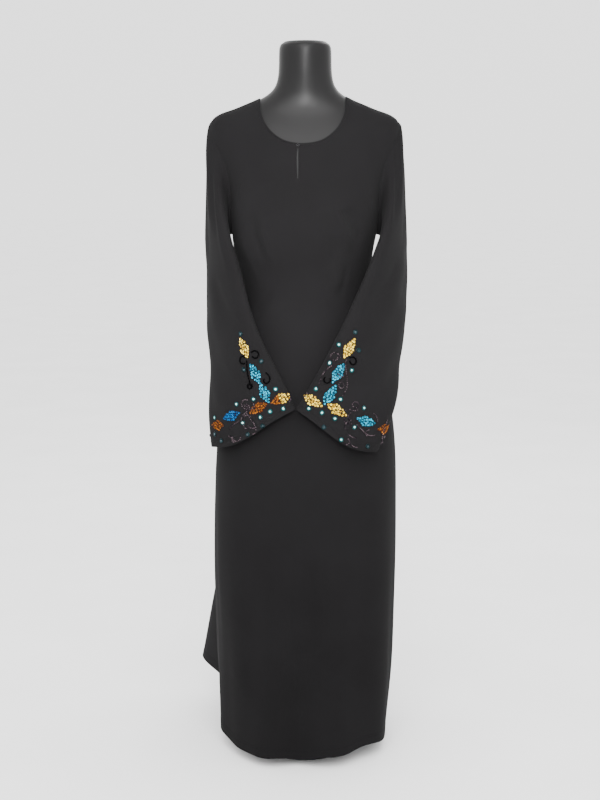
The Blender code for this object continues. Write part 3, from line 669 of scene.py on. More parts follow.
def panel_rows():
    """Rows from the hem up: height of each below the underarm, and its number above it."""
    plain = np.arange(HEM + HEM_FOLD + PAST_STITCHES, UNDERARM - SKIRT_STEP / 2, SKIRT_STEP)
    below = [*(HEM + d for d in NEAR_HEM), *(HEM + HEM_FOLD + d for d in NEAR_STITCHES), *plain]
    coarse = np.arange(0, TOP_ROW - COARSE_END, ABOVE_STEP)
    fine = np.arange(TOP_ROW - FINE_START, TOP_ROW - FINE_END, FINE_STEP)
    above = [*coarse, *fine, TOP_ROW - LAST_GAP, TOP_ROW]
    return np.array([*below, *(UNDERARM for _ in above)]), np.array([*(-1.0 for _ in below), *above])


def slit_shares():
    return [(SLIT_AZIMUTH + end * SLIT_HALF_ANGLE) / (math.pi / 2) for end in (-1, 1)]


def panel_shares(slit):
    """Columns of a panel, closer at its sides and at the slit."""
    fixed = [end * (1 - d) for end in (-1, 1) for d in NEAR_SIDE]
    if slit:
        fixed += [edge + side * d for edge, side in zip(slit_shares(), (-1, 1)) for d in NEAR_SLIT]
    apart = PANEL_STEP * LEAST_STEP
    plain = [s for s in np.arange(-1, 1, PANEL_STEP) if min(abs(s - f) for f in fixed) > apart]
    if slit:
        low, high = slit_shares()
        plain = [s for s in plain if not low <= s <= high]
    return np.array(sorted([*plain, *fixed]))


def slit_opening(above):
    """Share of the slit's full width at each row: drawn together by the hook at its top."""
    from_top = (TOP_ROW - above) / SLIT_ROWS
    opened = smooth((from_top - SLIT_OPENS_FROM) / SLIT_OPENS_OVER)
    narrowed = smooth((from_top - SLIT_NARROWS_FROM) / (1 - SLIT_NARROWS_FROM))
    return SLIT_DRAWN + (1 - SLIT_DRAWN) * opened * (1 - SLIT_NARROWS * narrowed)


def panel(facing, slit=False):
    """Grid of a panel. facing is 1 for the front and -1 for the back."""
    middle = 0 if facing > 0 else math.pi
    shares = panel_shares(slit)
    heights, above = (row[:, None] for row in panel_rows())
    risen = np.maximum(above, 0)
    share = np.broadcast_to(shares[None, :], (len(heights), len(shares))).copy()
    if slit:
        low, high = slit_shares()
        centre, half = (low + high) / 2, (high - low) / 2
        pull = (1 - slit_opening(risen)) * half * (above > TOP_ROW - SLIT_ROWS)
        away = (share - centre) / half
        share -= pull * np.sign(away) * bell(np.abs(away) - 1, SLIT_PULL_REACH)
    azimuth = middle + share * (math.pi / 2 - np.where(above > 0, armhole_cut(above), 0))
    height = np.where(above > 0, panel_height(middle, shares[None, :], risen), heights)
    top = panel_height(middle, shares[None, :], np.full((1, 1), TOP_ROW))
    folded = np.where(above > 0, edge_fold(top - height, NECK_FOLD), edge_fold(heights - HEM, HEM_FOLD))
    points = cloth_point(azimuth, height, folded)
    sewn = np.zeros(share.shape, bool)
    sewn[:, [0, -1]] = (above <= 0) | (above >= ARMHOLE_ROWS)
    points[..., 1] = np.where(sewn, -facing * SEAM_GAP / 2, points[..., 1])
    normals = grid_normals(points, wrap=False)
    normals[..., 1] = np.where(sewn, 0, normals[..., 1])
    normals = unit(normals)
    return {"points": points, "normals": normals, "inner": points - normals * THIN, "above": above[:, 0],
            "heights": heights[:, 0], "shares": shares}


def side_of(table):
    """1 for the wearer's left sleeve and -1 for the right one."""
    return math.copysign(1, table[0][0])


def sleeve_middle(table, share, across):
    """Points halfway between a sleeve's two layers. across runs from its back fold to its front fold."""
    rows = [(i / (len(table) - 1), *row) for i, row in enumerate(table)]
    bx, by, bz, fx, fy, fz, bow, hollow = read(rows, share)
    back, front = vector(bx, by, bz), vector(fx, fy, fz)
    across = np.asarray(across, float)
    bulge = side_of(table) * (bow * 4 * across * (1 - across))[..., None]
    point = back + (front - back) * across[..., None] + square_to(unit(front - back)) * bulge
    shaped = smooth((share - CUFF_SAG_FROM) / (1 - CUFF_SAG_FROM))
    point[..., 2] -= shaped * CUFF_SAG * np.sin(math.pi * across**CUFF_SAG_SKEW) ** 2
    point[..., 2] += shaped * CUFF_CORNER * (1 - smooth(across / CUFF_CORNER_WIDTH))
    radius, azimuth = polar(point)
    room = polar(hanging_point(azimuth, point[..., 2]))[0] + SLEEVE_CLEARANCE + hollow / 2
    pushed = (radius + room + np.sqrt((radius - room) ** 2 + SOFT_PUSH**2)) / 2
    return point * vector(pushed / radius, pushed / radius, 1), hollow


def place_round(index):
    """Where a number of the loop lies round the sleeve: to 1 on the outer layer, to 2 on the inner."""
    half = LOOP // 2
    index = np.asarray(index, float) % LOOP
    table = list(enumerate(LOOP_SHARES))
    outer, inner = read(table, index)[0], read(table, LOOP - index)[0]
    return np.where(index <= half, outer, 2 - inner)


def sleeve_loop_point(table, share, place):
    """Points of a sleeve's outer face below the armhole, before its creases."""
    outer_layer = place <= 1
    across = np.clip(np.where(outer_layer, place, 2 - place), 0, 1)
    point, hollow = sleeve_middle(table, share, across)
    step = 0.01
    ahead, _ = sleeve_middle(table, share, np.minimum(1, across + step))
    behind, _ = sleeve_middle(table, share, np.maximum(0, across - step))
    normal = unit(square_to(ahead - behind)) * side_of(table)
    front_fold, back_fold = (sleeve_middle(table, share, np.full_like(across, end))[0] for end in (1, 0))
    width = np.linalg.norm(front_fold - back_fold, axis=-1)
    from_fold = np.minimum(1, np.minimum(across, 1 - across) * width / FOLD_LENGTH)
    layers = LAYERS_AT_FOLDS + (1 - LAYERS_AT_FOLDS) * np.sin(math.pi * across)
    thickness = hollow / 2 * np.sqrt(1 - (1 - from_fold) ** 2) * layers
    return point + normal * np.where(outer_layer, thickness, -thickness)[..., None]


def clear_of_trunk(point, room):
    """The points, moved straight out from the axis where the trunk is closer than the given room."""
    radius, azimuth = polar(point)
    least = np.maximum(radius, polar(trunk_point(azimuth, point[..., 2]))[0] + room)
    return point * vector(least / radius, least / radius, 1)


def armhole_edge(side, index):
    """Outer points and normals of the panels' edge round an armhole, at numbers of the loop."""
    index = np.asarray(index, float) % LOOP
    on_front = (index >= SHOULDER_AT) & (index <= UNDERARM_AT)
    above = np.where(on_front, UNDERARM_AT - index, (index - UNDERARM_AT) % LOOP)
    reach = math.pi / 2 - armhole_cut(above)
    azimuth = np.where(on_front, side * reach, math.pi - side * reach)
    height = np.where(on_front, panel_height(0, side, above), panel_height(math.pi, -side, above))
    point, normal = cloth_point(azimuth, height), normal_at(cloth_point, azimuth, height)
    on_seam = (above == 0) | (above == ARMHOLE_ROWS)
    point[..., 1] = np.where(on_seam, 0, point[..., 1])
    normal[..., 1] = np.where(on_seam, 0, normal[..., 1])
    return point, unit(normal)


def upwardness(index):
    """1 at the shoulder's number of the loop and -1 at the underarm's."""
    return np.cos((index - SHOULDER_AT) * 2 * math.pi / LOOP)


def armhole_rings(side, index):
    """The sleeve's sewn edge, its lining, a ring just outside it and the way the cloth leaves."""
    point, normal = armhole_edge(side, index)
    along = armhole_edge(side, index + 1)[0] - armhole_edge(side, index - 1)[0]
    across = unit(np.cross(along, normal))
    far_out = point.mean(0) + np.array([side, 0, 0])
    across *= np.sign(np.sum(across * (far_out - point), -1))[:, None]
    turn = math.pi / 2 * smooth((1 - upwardness(index)) / 2)[:, None]
    leave = across * np.cos(turn) + normal * np.sin(turn)
    start = point + across * SEAM_GAP - normal * (CLOTH * np.sin(turn))
    lining = start + (across * np.sin(turn) - normal * np.cos(turn)) * THIN
    stood = start + leave * (CLOTH * np.sin(turn) + SEAM_STAND)
    return start, lining, stood, leave


def sleeve_relief(side, along, place):
    """How far creases and the cuff's folded edge move a sleeve's cloth out."""
    drift = SLEEVE_CREASE_DRIFT[side]
    relief = crease_relief(SLEEVE_CREASES, place + drift[0], along + drift[1], SLEEVE_SCALE, 2)
    relief *= smooth((along - CREASES_FROM) / CREASES_OVER)
    relief = np.where(place > 1, -soft_floor(-relief, -INNER_LAYER_REACH), relief)
    from_fold = np.minimum(np.minimum(place, np.abs(place - 1)), 2 - place)
    relief *= np.minimum(1, from_fold * SLEEVE_SCALE[0] / FOLD_LENGTH)
    relief += edge_fold((1 - along) * SLEEVE_SCALE[1], CUFF_FOLD) * (along > 0)
    relief[:2] = 0
    return relief[..., None]


def sleeve(table):
    """Grid of a sleeve, ring by ring from the armhole to the cuff, with its creases."""
    side = side_of(table)
    index = np.arange(LOOP_POINTS) * LOOP / LOOP_POINTS
    place = place_round(index)
    sewn, lining, stood, leave = armhole_rings(side, index)
    zero = np.zeros_like(place)
    cap_ends = sleeve_loop_point(table, zero, place)
    step = 0.02
    arrive = unit(sleeve_loop_point(table, zero + step, place) - cap_ends)
    shoulder = LOOP_POINTS // 4
    reach = np.linalg.norm(cap_ends[shoulder] - sewn[shoulder])
    distance = np.linalg.norm(cap_ends - stood, axis=-1)[:, None]
    pace = CAP_LEAVE + (CAP_LEAVE_AT_TOP - CAP_LEAVE) * np.maximum(0, upwardness(index))[:, None]
    away = unit(leave + np.array([side, 0, CAP_HANG])) * pace * np.minimum(distance * CAP_STRETCH, reach)
    t = np.arange(1, CAP_RINGS + 1) / CAP_RINGS
    cap = curve(t[:, None, None], stood, cap_ends, away, arrive * distance * CAP_ARRIVE)
    cap = clear_of_trunk(cap, SLEEVE_CLEARANCE)
    near_cuff = [1 - d / SLEEVE_SCALE[1] for d in NEAR_CUFF]
    plain = np.arange(1, SLEEVE_RINGS) / SLEEVE_RINGS
    shares = np.array([*plain[plain < near_cuff[0] - PAST_CUFF], *near_cuff])
    low = sleeve_loop_point(table, *np.broadcast_arrays(shares[:, None], place[None, :]))
    points = np.concatenate([sewn[None], stood[None], cap, low])
    along = np.array([ARMHOLE_AT, STOOD_AT, *(STOOD_AT - STOOD_AT * t), *shares])
    relief = sleeve_relief(side, along[:, None], place)
    points = points + grid_normals(points, wrap=True, side=side) * relief
    normals = grid_normals(points, wrap=True, side=side)
    inner = points - normals * THIN
    inner[0] = lining
    return {"points": points, "normals": normals, "inner": inner, "along": along, "place": place,
            "side": side}


def add(name, data):
    """An object in the scene that holds the data."""
    piece = bpy.data.objects.new(name, data)
    bpy.context.scene.collection.objects.link(piece)
    return piece


def finish_mesh(name, vertices, faces, surface, smooth_shaded=True):
    mesh = bpy.data.meshes.new(name)
    mesh.from_pydata(vertices.reshape(-1, 3).tolist(), [], faces)
    mesh.materials.append(surface)
    if smooth_shaded:
        mesh.shade_smooth()
        mesh.set_sharp_from_angle(angle=SHARP_ANGLE)
    return add(name, mesh)


def grid_quads(rows, columns, round_rows=False, round_columns=True):
    """Faces between the neighbours of a grid of points, which may be closed round along either way."""
    index = np.arange(rows * columns).reshape(rows, columns)
    following = np.roll(index, -1, 0)
    quads = np.stack([index, np.roll(index, -1, 1), np.roll(following, -1, 1), following], -1)
    return quads[:None if round_rows else -1, :None if round_columns else -1]


def tube_faces(rings, sides, closed=False):
    """Faces of a tube of rings, closed round on itself or ending in flat caps."""
    faces = grid_quads(rings, sides, round_rows=closed).reshape(-1, 4).tolist()
    if not closed:
        last = (rings - 1) * sides
        faces += [list(range(sides))[::-1], list(range(last, last + sides))]
    return faces


def shell(name, grid, surface, wrap=False, side=1, skip=None):
    """A closed thin shell between a grid's outer and inner points. skip marks cells that stay open."""
    rows, columns = grid["points"].shape[:2]
    quads = grid_quads(rows, columns, round_columns=wrap)
    quads = quads.reshape(-1, 4) if skip is None else quads[~skip]
    if side < 0:
        quads = quads[:, ::-1]
    count = rows * columns
    directed = {(a, b) for quad in quads.tolist() for a, b in zip(quad, (*quad[1:], quad[0]))}
    rims = [(b, a, a + count, b + count) for a, b in sorted(directed) if (b, a) not in directed]
    faces = [*quads.tolist(), *(quads[:, ::-1] + count).tolist(), *rims]
    vertices = np.concatenate([grid["points"].reshape(-1, 3), grid["inner"].reshape(-1, 3)])
    used = np.tile(np.isin(np.arange(count), quads), 2)
    number = np.cumsum(used) - 1
    return finish_mesh(name, vertices[used], [number[list(face)].tolist() for face in faces], surface)


def sample(grid, row, column, wrap=False):
    """Points and normals of a grid at fractional rows and columns."""
    rows, columns = grid["points"].shape[:2]
    within = 1.001
    row = np.clip(np.asarray(row, float), 0, rows - within)
    column = np.asarray(column, float)
    column = column % columns if wrap else np.clip(column, 0, columns - within)
    r, c = row.astype(int), column.astype(int)
    d = (c + 1) % columns
    fr, fc = (row - r)[..., None], (column - c)[..., None]

    def mix(values):
        upper = values[r, c] * (1 - fc) + values[r, d] * fc
        lower = values[r + 1, c] * (1 - fc) + values[r + 1, d] * fc
        return upper * (1 - fr) + lower * fr

    return mix(grid["points"]), unit(mix(grid["normals"]))


def on_sleeve(grid, share, place):
    """Points and normals of a sleeve at places along and round it."""
    column = index_at(np.append(grid["place"], 2.0), np.asarray(place) % 2)
    return sample(grid, index_at(grid["along"], share), column, wrap=True)


def flat_patch(grid, share, place, x, y, lengthwise):
    """Points and normals near a place on a sleeve, from distances across and along a motif."""

    def slope(along, around):
        ahead, behind = (on_sleeve(grid, share + k * along, place + k * around)[0] for k in (1, -1))
        return (ahead - behind) / (2 * (along + around))

    axes = slope(PATCH_STEP, 0), slope(0, PATCH_STEP)
    long_axis, other = axes if lengthwise == "sleeve" else axes[::-1]
    e_long = unit(long_axis)
    e_wide = unit(other - e_long * np.dot(other, e_long))
    wide = x / np.dot(other, e_wide)
    long = (y - wide * np.dot(other, e_long)) / np.linalg.norm(long_axis)
    along, around = (long, wide) if lengthwise == "sleeve" else (wide, long)
    return on_sleeve(grid, share + along, place + around)


def lifted(places, lift=0.0):
    """Points and normals of a list of places, the points moved out."""
    points, normals = (np.array(values) for values in zip(*places))
    return points + normals * lift, normals


def turned(profile, radius, sides, closed=False):
    """A bead turned from a profile. A closed profile leaves a hole, an open one ends in flat caps."""
    rings = [(share * radius, height) for share, height in profile]
    vertices = np.array([(r * math.cos(a), r * math.sin(a), z) for r, z in rings for a in turns(sides)])
    return vertices, tube_faces(len(profile), sides, closed)


def strewn(name, bead, places, surface, directions=None, tilt=0.0, smooth_shaded=True):
    """One joined mesh of a bead set at each place, standing on the surface there."""
    vertices, faces = bead
    points, normals = places
    normals = unit(normals + random.normal(0, 1, normals.shape) * tilt)
    if directions is None:
        directions = random.normal(0, 1, normals.shape)
    along = unit(directions - normals * np.sum(directions * normals, -1, keepdims=True))
    axes = np.stack([along, np.cross(normals, along), normals], 1)
    shifts = range(0, len(points) * len(vertices), len(vertices))
    all_faces = [[v + shift for v in face] for shift in shifts for face in faces]
    return finish_mesh(name, points[:, None, :] + vertices @ axes, all_faces, surface, smooth_shaded)


def diamond_spots():
    """Places of the sequins in a diamond, its long way along y."""
    middle = (len(SEQUIN_ROWS) - 1) / 2
    return [((i - (count - 1) / 2) * SEQUIN_PITCH, (row - middle) * SEQUIN_STEP)
            for row, count in enumerate(SEQUIN_ROWS) for i in range(count)]


def sequins(name, grid, motifs, surfaces):
    """Sequins of a sleeve's diamonds, one joined mesh for each colour."""
    spots = {}
    for share, place, lengthwise, *colours in motifs:
        for x, y in diamond_spots():
            jx, jy = random.normal(0, JITTER, 2)
            where = flat_patch(grid, share, place, x + jx, y + jy, lengthwise)
            colour = colours[0] if y < -SEQUIN_STEP / 2 else colours[-1]
            spots.setdefault(colour, []).append(where)
    cup = turned(SEQUIN_PROFILE, SEQUIN_RADIUS, SEQUIN_SIDES, closed=True)
    return [strewn(f"sequins_{colour}_{name}", cup, lifted(places, LIFT), surfaces[colour],
                   tilt=SEQUIN_TILT, smooth_shaded=False) for colour, places in spots.items()]


def rhinestones(name, grid, rows_by_kind, surfaces):
    """Faceted stones of a sleeve, each in a round metal rim."""
    stone = turned(STONE_PROFILE, STONE_RADIUS, STONE_SIDES)
    rim = turned(RIM_PROFILE, STONE_RADIUS, RIM_SIDES, closed=True)
    made = []
    for kind, rows in rows_by_kind.items():
        places = lifted([on_sleeve(grid, *row) for row in rows], LIFT)
        made.append(strewn(f"stone_rims_{kind}_{name}", rim, places, surfaces[f"{kind}_rim"]))
        made.append(strewn(f"stones_{kind}_{name}", stone, places, surfaces[f"{kind}_stone"],
                           tilt=STONE_TILT, smooth_shaded=False))
    return made


def scroll_places(grid, row, pitch):
    """Places of the beads along one scroll."""
    share, place, heading, length, turn_start, turn_end = row
    count = max(2, round(length / pitch))
    x = y = 0.0
    angle = math.radians(heading)
    found = []
    for k in range(count):
        found.append(flat_patch(grid, share, place, x, y, "sleeve"))
        turn = turn_start + (turn_end - turn_start) * k / (count - 1)
        angle += turn * pitch
        x += pitch * math.sin(angle)
        y += pitch * math.cos(angle)
    return found


def bead_scrolls(name, grid, rows_by_kind, surfaces):
    """Strings of small round beads, one joined mesh for each kind of bead."""
    made = []
    for kind, rows in rows_by_kind.items():
        radius, pitch = BEADS[kind]
        profile = [(math.sin(a), radius * (BEAD_RISE - math.cos(a))) for a in BEAD_ANGLES]
        places = lifted([spot for row in rows for spot in scroll_places(grid, row, pitch)])
        bead = turned(profile, radius, BEAD_SIDES)
        made.append(strewn(f"beads_{kind}_{name}", bead, places, surfaces[kind]))
    return made


def with_hidden(visible, hidden):
    """A sleeve's rows by kind, followed by those of its hidden half."""
    return {kind: (*rows, *hidden[kind]) for kind, rows in visible.items()}


def stitches(name, grid, rows, columns, surface, wrap=False):
    """A line of machine stitches along a path given by fractional rows and columns of a grid."""
    points, normals = sample(grid, *np.broadcast_arrays(rows, columns), wrap)
    run = np.append(0, np.cumsum(np.linalg.norm(np.diff(points, axis=0), axis=-1)))
    count = max(2, int(run[-1] / STITCH_PITCH))
    at = (np.arange(count) + 0.5) * run[-1] / count

    def along(values, ahead=0.0):
        return np.stack([np.interp(at + ahead, run, values[:, c]) for c in range(3)], -1)

    profile = [(share, end * STITCH_LENGTH / 2) for share, end in STITCH_PROFILE]
    vertices, faces = turned(profile, STITCH_RADIUS, STITCH_SIDES)
    lying = (vertices[:, [2, 0, 1]], faces)
    step = 0.001
    places = lifted(zip(along(points), unit(along(normals))), STITCH_RADIUS * STITCH_RISE)
    return strewn(name, lying, places, surface, directions=along(points, step) - along(points, -step))


def noise(tree, scale, detail):
    """Noise over the object's own coordinates."""
    place = tree.nodes.new("ShaderNodeTexCoord")
    texture = tree.nodes.new("ShaderNodeTexNoise")
    texture.inputs["Scale"].default_value = scale
    texture.inputs["Detail"].default_value = detail
    tree.links.new(place.outputs["Object"], texture.inputs["Vector"])
    return texture.outputs["Fac"]


def ramp(tree, value, low, high, start=0.35, end=0.65):
    """Mixes two colours by a value."""
    made = tree.nodes.new("ShaderNodeValToRGB")
    for element, position, colour in zip(made.color_ramp.elements, (start, end), (low, high)):
        element.position = position
        element.color = (*colour, 1)
    tree.links.new(value, made.inputs["Fac"])
    return made.outputs["Color"]


def material(name, colour, roughness, metallic=0.0, tones=(), uneven=(), bumps=(), **sockets):
    """A material. tones: scale and detail of a noise, the two colours that it mixes. uneven: scale of a
    noise, the two roughnesses. bumps, coarse first: scale and detail of a noise, strength, distance."""
    made = bpy.data.materials.new(name)
    made.use_nodes = True
    tree = made.node_tree
    shader = tree.nodes["Principled BSDF"]
    values = {"Base Color": (*colour, 1), "Roughness": roughness, "Metallic": metallic, **sockets}
    for socket, value in values.items():
        shader.inputs[socket.replace("_", " ")].default_value = value
    if tones:
        scale, detail, *mixed = tones
        tree.links.new(ramp(tree, noise(tree, scale, detail), *mixed), shader.inputs["Base Color"])
    if uneven:
        scale, *ends = uneven
        mixed = ramp(tree, noise(tree, scale, 3.0), *((end,) * 3 for end in ends))
        tree.links.new(mixed, shader.inputs["Roughness"])
    before = None
    for scale, detail, strength, distance in bumps:
        height = noise(tree, scale, detail)
        bump = tree.nodes.new("ShaderNodeBump")
        bump.inputs["Strength"].default_value = strength
        bump.inputs["Distance"].default_value = distance
        tree.links.new(height, bump.inputs["Height"])
        if before:
            tree.links.new(before, bump.inputs["Normal"])
        before = bump.outputs["Normal"]
    if before:
        tree.links.new(before, shader.inputs["Normal"])
    return made


def crepe():
    """Matt black crepe: a fine pebbled grain, faintly uneven black and a soft sheen."""
    return material(
        "black_crepe_cloth", (0.0062, 0.0059, 0.0063), 0.9,
        tones=(7.0, 4.0, (0.0058, 0.0055, 0.0058), (0.0067, 0.0064, 0.0068)), uneven=(900.0, 0.82, 0.96),
        bumps=((620.0, 2.0, 0.35, 0.0003), (1700.0, 1.0, 0.45, 0.0002)),
        Sheen_Weight=0.01, Sheen_Roughness=0.6, Specular_IOR_Level=0.03)


def form_gloss():
    """Moulded grey plastic with a fine satin gloss."""
    return material(
        "grey_gloss_shell", (0.0085, 0.0083, 0.0084), 0.34,
        tones=(9.0, 3.0, (0.0083, 0.0081, 0.0082), (0.0087, 0.0085, 0.0086)), uneven=(60.0, 0.33, 0.35),
        Specular_IOR_Level=0.09)


def steel():
    """Dark satin paint over steel, a little worn."""
    return material(
        "dark_steel_paint", (0.014, 0.014, 0.015), 0.36, 0.4,
        tones=(40.0, 6.0, (0.011, 0.011, 0.0115), (0.019, 0.019, 0.020)), uneven=(180.0, 0.28, 0.46),
        bumps=((700.0, 3.0, 0.10, 0.0002),), Specular_IOR_Level=0.12)


def foil(name, low, high, metallic=0.1, roughness=0.3, coat=0.02, specular=0.03):
    """Shiny foil of a sequin or stone, uneven from piece to piece."""
    return material(name, high, roughness, metallic, tones=(260.0, 1.0, low, high, 0.42, 0.58),
                    Coat_Weight=coat, Coat_Roughness=0.12, Specular_IOR_Level=specular)


def bead_materials():
    """Finishes of the beadwork."""
    return {
        "yellow": foil("sequin_yellow", (0.40, 0.22, 0.008), (1.0, 0.74, 0.09)),
        "turquoise": foil("sequin_turquoise", (0.0, 0.08, 0.14), (0.0, 0.38, 0.56)),
        "blue": foil("sequin_blue", (0.0, 0.022, 0.09), (0.0, 0.13, 0.38)),
        "copper": foil("sequin_copper", (0.060, 0.012, 0.001), (0.28, 0.085, 0.004)),
        "clear_stone": foil("stone_aqua", (0.14, 0.40, 0.38), (0.60, 0.85, 0.80), 0.2, 0.14, 0.4),
        "smoky_stone": foil("stone_smoky", (0.012, 0.020, 0.024), (0.050, 0.065, 0.072), 0.2, 0.2, 0.1),
        "clear_rim": foil("stone_rim_teal", (0.001, 0.014, 0.016), (0.003, 0.050, 0.054), coat=0.0),
        "smoky_rim": foil("stone_rim_dark", (0.001, 0.006, 0.007), (0.004, 0.017, 0.020), coat=0.0),
        # Near-black beads with almost no reflection: real black beadwork, partly painted shade for the
        # curls that lie in shade.
        "shaded_jet": foil("bead_shaded_jet", (0.0002, 0.0002, 0.0003), (0.0006, 0.0005, 0.0007), 0.0, 0.5, 0.0, 0.02),
        # Smoky beads: a real dark purplish tone that varies from bead to bead, its lighter tones partly
        # painted highlight for the lit curls.
        "smoky": foil("bead_smoky_and_highlight", (0.007, 0.004, 0.007), (0.080, 0.058, 0.067), 0.3, 0.25, 0.05),
    }


def dress_form(surface):
    """Fine shell of the dress form, which stands for its coarse solid."""
    rings = [row[0] for row in FORM_SECTIONS]
    rings += [*np.arange(rings[0], rings[-1], FORM_STEP), *np.arange(FORM_RIM, rings[-1], FORM_RIM_STEP)]
    heights = np.unique(rings)
    points = form_point(turns(FORM_SIDES)[None, :], heights[:, None])
    smoothed = (heights[1:-1] > FORM_SMOOTH_FROM) & (heights[1:-1] < FORM_SMOOTH_TO)
    for _ in range(FORM_SMOOTHING):
        points[1:-1][smoothed] = (points[:-2] + 2 * points[1:-1] + points[2:])[smoothed] / 4
    return finish_mesh("dress_form_shell", points, tube_faces(*points.shape[:2]), surface)


def neck_hook(surface):
    """Small wire hook and its eye, which close the slit at the neckline."""
    low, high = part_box("neck_hook")
    middle = (np.array(low) + np.array(high)) / 2
    half = (high.x - low.x) / 2
    angle, turn = turns(HOOK_POINTS), turns(HOOK_SIDES)[None, :, None]
    out = np.array([0.0, -1.0, 0.0])
    wires, faces = [], []
    for offset, width, rise, forward in HOOK_LOOPS:
        path = vector(middle[0] + (offset + np.cos(angle) * width) * half, low.y + HOOK_WIRE * forward,
                      middle[2] + np.sin(angle) * rise)
        aside = unit(np.cross(unit(np.roll(path, -1, 0) - np.roll(path, 1, 0)), out))
        shift = len(wires) * HOOK_POINTS * HOOK_SIDES
        faces += [[v + shift for v in face] for face in tube_faces(HOOK_POINTS, HOOK_SIDES, closed=True)]
        wires.append(path[:, None] + (aside[:, None] * np.cos(turn) + out * np.sin(turn)) * HOOK_WIRE)
    return finish_mesh("neck_hook_wire", np.array(wires), faces, surface)


def stitch_lines(panels, sleeve_grids, surface):
    """Machine stitching round the hem, the neckline, the slit and the cuffs."""
    made = []
    for name, grid in panels.items():
        columns = np.linspace(PANEL_END, len(grid["shares"]) - 1 - PANEL_END, PANEL_POINTS)
        hem_row = index_at(grid["heights"], HEM + HEM_FOLD * STITCH_PLACE)
        neck_row = len(grid["above"]) - 1 - NECK_STITCH_ROW
        made.append(stitches(f"hem_stitches_{name}", grid, hem_row, columns, surface))
        made.append(stitches(f"neck_stitches_{name}", grid, neck_row, columns, surface))
    front = panels["front"]
    ends = [index_at(front["above"], TOP_ROW - gap) for gap in (SLIT_ROWS + SLIT_FOOT_GAP, SLIT_TOP_GAP)]
    for number, (edge, side) in enumerate(zip(slit_shares(), (-1, 1))):
        column = index_at(front["shares"], edge + side * SLIT_STITCH_SHARE)
        rows = np.linspace(*ends, SLIT_POINTS)
        made.append(stitches(f"slit_stitches_{number}", front, rows, column, surface))
    for name, grid in sleeve_grids.items():
        row = index_at(grid["along"], 1 - CUFF_FOLD * STITCH_PLACE / SLEEVE_SCALE[1])
        columns = np.linspace(0, LOOP_POINTS - CUFF_END, CUFF_POINTS)
        made.append(stitches(f"cuff_stitches_{name}", grid, row, columns, surface, wrap=True))
    return made


def stage():
    """Plain pale floor, soft studio light and the camera at the photograph's angle."""
    surface = material("pale_floor", (0.86, 0.86, 0.86), 0.9,
                       tones=(3.0, 3.0, (0.85, 0.85, 0.85), (0.88, 0.88, 0.88)), Specular_IOR_Level=0.2)
    corners = np.array([(-1, -1, 0), (1, -1, 0), (1, 1, 0), (-1, 1, 0)]) * FLOOR_HALF
    finish_mesh("floor", corners, [(0, 1, 2, 3)], surface, smooth_shaded=False)

    world = bpy.data.worlds.new("studio")
    world.use_nodes = True
    tree = world.node_tree
    background = tree.nodes["Background"]
    place, parts = tree.nodes.new("ShaderNodeTexCoord"), tree.nodes.new("ShaderNodeSeparateXYZ")
    tree.links.new(place.outputs["Generated"], parts.inputs["Vector"])
    tree.links.new(ramp(tree, parts.outputs["Z"], *SKY_LEVELS, 0.0, 1.0), background.inputs["Color"])
    background.inputs["Strength"].default_value = SKY_STRENGTH
    bpy.context.scene.world = world

    for name, place, target, energy, size, spread in LAMPS:
        lamp = bpy.data.lights.new(name, "AREA")
        lamp.energy, lamp.size, lamp.spread = energy, size, math.radians(spread)
        light = add(name, lamp)
        light.location = place
        direction = np.array(target) - np.array(place)
        yaw = math.atan2(direction[0], direction[1])
        light.rotation_euler = (math.atan2(math.hypot(*direction[:2]), -direction[2]), 0, -yaw)

    camera = bpy.data.cameras.new("camera")
    camera.sensor_width = CAMERA_SENSOR
    camera.lens = CAMERA_SENSOR * CAMERA_FOCAL_PIXELS / PHOTO_HEIGHT
    eye = add("camera", camera)
    eye.location = CAMERA_PLACE
    eye.rotation_euler = (math.radians(90 - CAMERA_PITCH), 0, 0)
    bpy.context.scene.camera = eye


# Half the floor's side, the studio's light at the horizon and overhead, and its strength. Lamps: name,
# place, what it points at, watts, size, spread in degrees
FLOOR_HALF = 30.0
SKY_LEVELS = ((0.83, 0.83, 0.83), (1.0, 1.0, 1.0))
SKY_STRENGTH = 2.6
LAMPS = (
    ("key", (0.0, -2.5, 2.8), (0, 0, 1.25), 150, 2.2, 180),
    ("front", (0.0, -2.6, 1.7), (0, 0, 1.05), 4.0, 0.5, 30),
    ("back", (0.6, 2.6, 2.6), (0, 0, 0.9), 26, 1.8, 180),
)

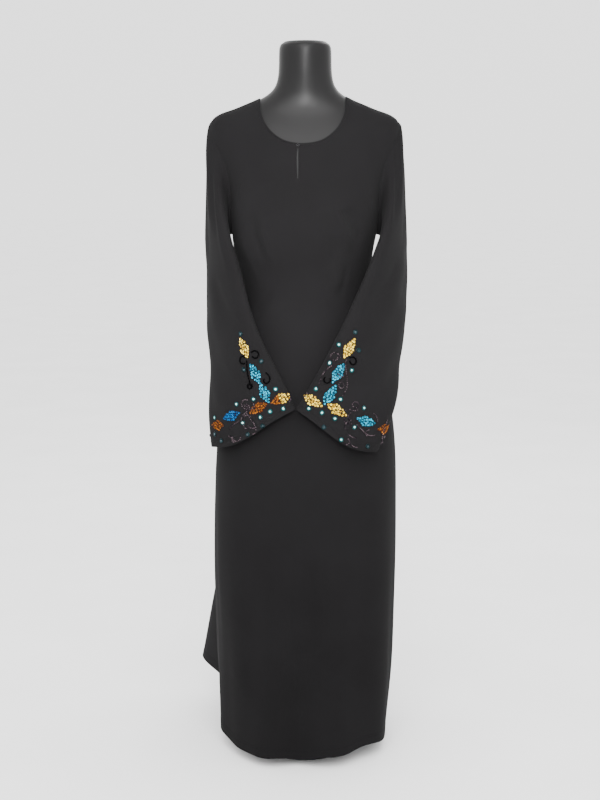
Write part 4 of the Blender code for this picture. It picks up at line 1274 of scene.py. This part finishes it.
# The photograph's height in pixels, the camera's focal length in the same pixels, its sensor in
# millimetres, its place and its pitch in degrees
PHOTO_HEIGHT = 800
CAMERA_FOCAL_PIXELS = 1339
CAMERA_SENSOR = 36
CAMERA_PLACE = (-0.0106, -2.80, 1.25)
CAMERA_PITCH = 9.85

random = np.random.default_rng(SEED)
cloth = crepe()
gloss = form_gloss()
paint = steel()
beads = bead_materials()
thread = foil("black_thread", (0.0035, 0.0034, 0.0036), (0.0055, 0.0053, 0.0056), 0.0, 0.6, 0.0, 0.05)

panels = {"front": panel(1, slit=True), "back": panel(-1)}
shares, above = panels["front"]["shares"], panels["front"]["above"]
open_cells = np.zeros((len(above) - 1, len(shares) - 1), bool)
open_cells[above[:-1] >= TOP_ROW - SLIT_ROWS, np.argmin(np.abs(shares - slit_shares()[0]))] = True
sleeve_grids = {"right": sleeve(SLEEVE_RIGHT), "left": sleeve(SLEEVE_LEFT)}

front = shell("front_cloth", panels["front"], cloth, skip=open_cells)
back = shell("back_cloth", panels["back"], cloth)
sleeves = {
    name: shell(f"sleeve_{name}_cloth", grid, cloth, wrap=True, side=grid["side"])
    for name, grid in sleeve_grids.items()
}
form = dress_form(gloss)
hook = neck_hook(paint)
sewing = stitch_lines(panels, sleeve_grids, thread)
beadwork = {}
for name, grid in sleeve_grids.items():
    beadwork[name] = [
        *sequins(name, grid, (*DIAMONDS[name], *HIDDEN_DIAMONDS), beads),
        *rhinestones(name, grid, with_hidden(RHINESTONES[name], HIDDEN_RHINESTONES), beads),
        *bead_scrolls(name, grid, with_hidden(SCROLLS[name], HIDDEN_SCROLLS), beads),
    ]

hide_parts("front")
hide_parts("back")
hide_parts("sleeve_right")
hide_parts("sleeve_left")
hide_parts("dress_form")
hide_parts("neck_hook")
for piece in (front, back, *sleeves.values(), form, hook, *sewing, *beadwork["right"], *beadwork["left"]):
    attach(piece, "root")
for node in ("pole", "base"):
    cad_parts[node].data.materials.clear()
    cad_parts[node].data.materials.append(paint)

stage()
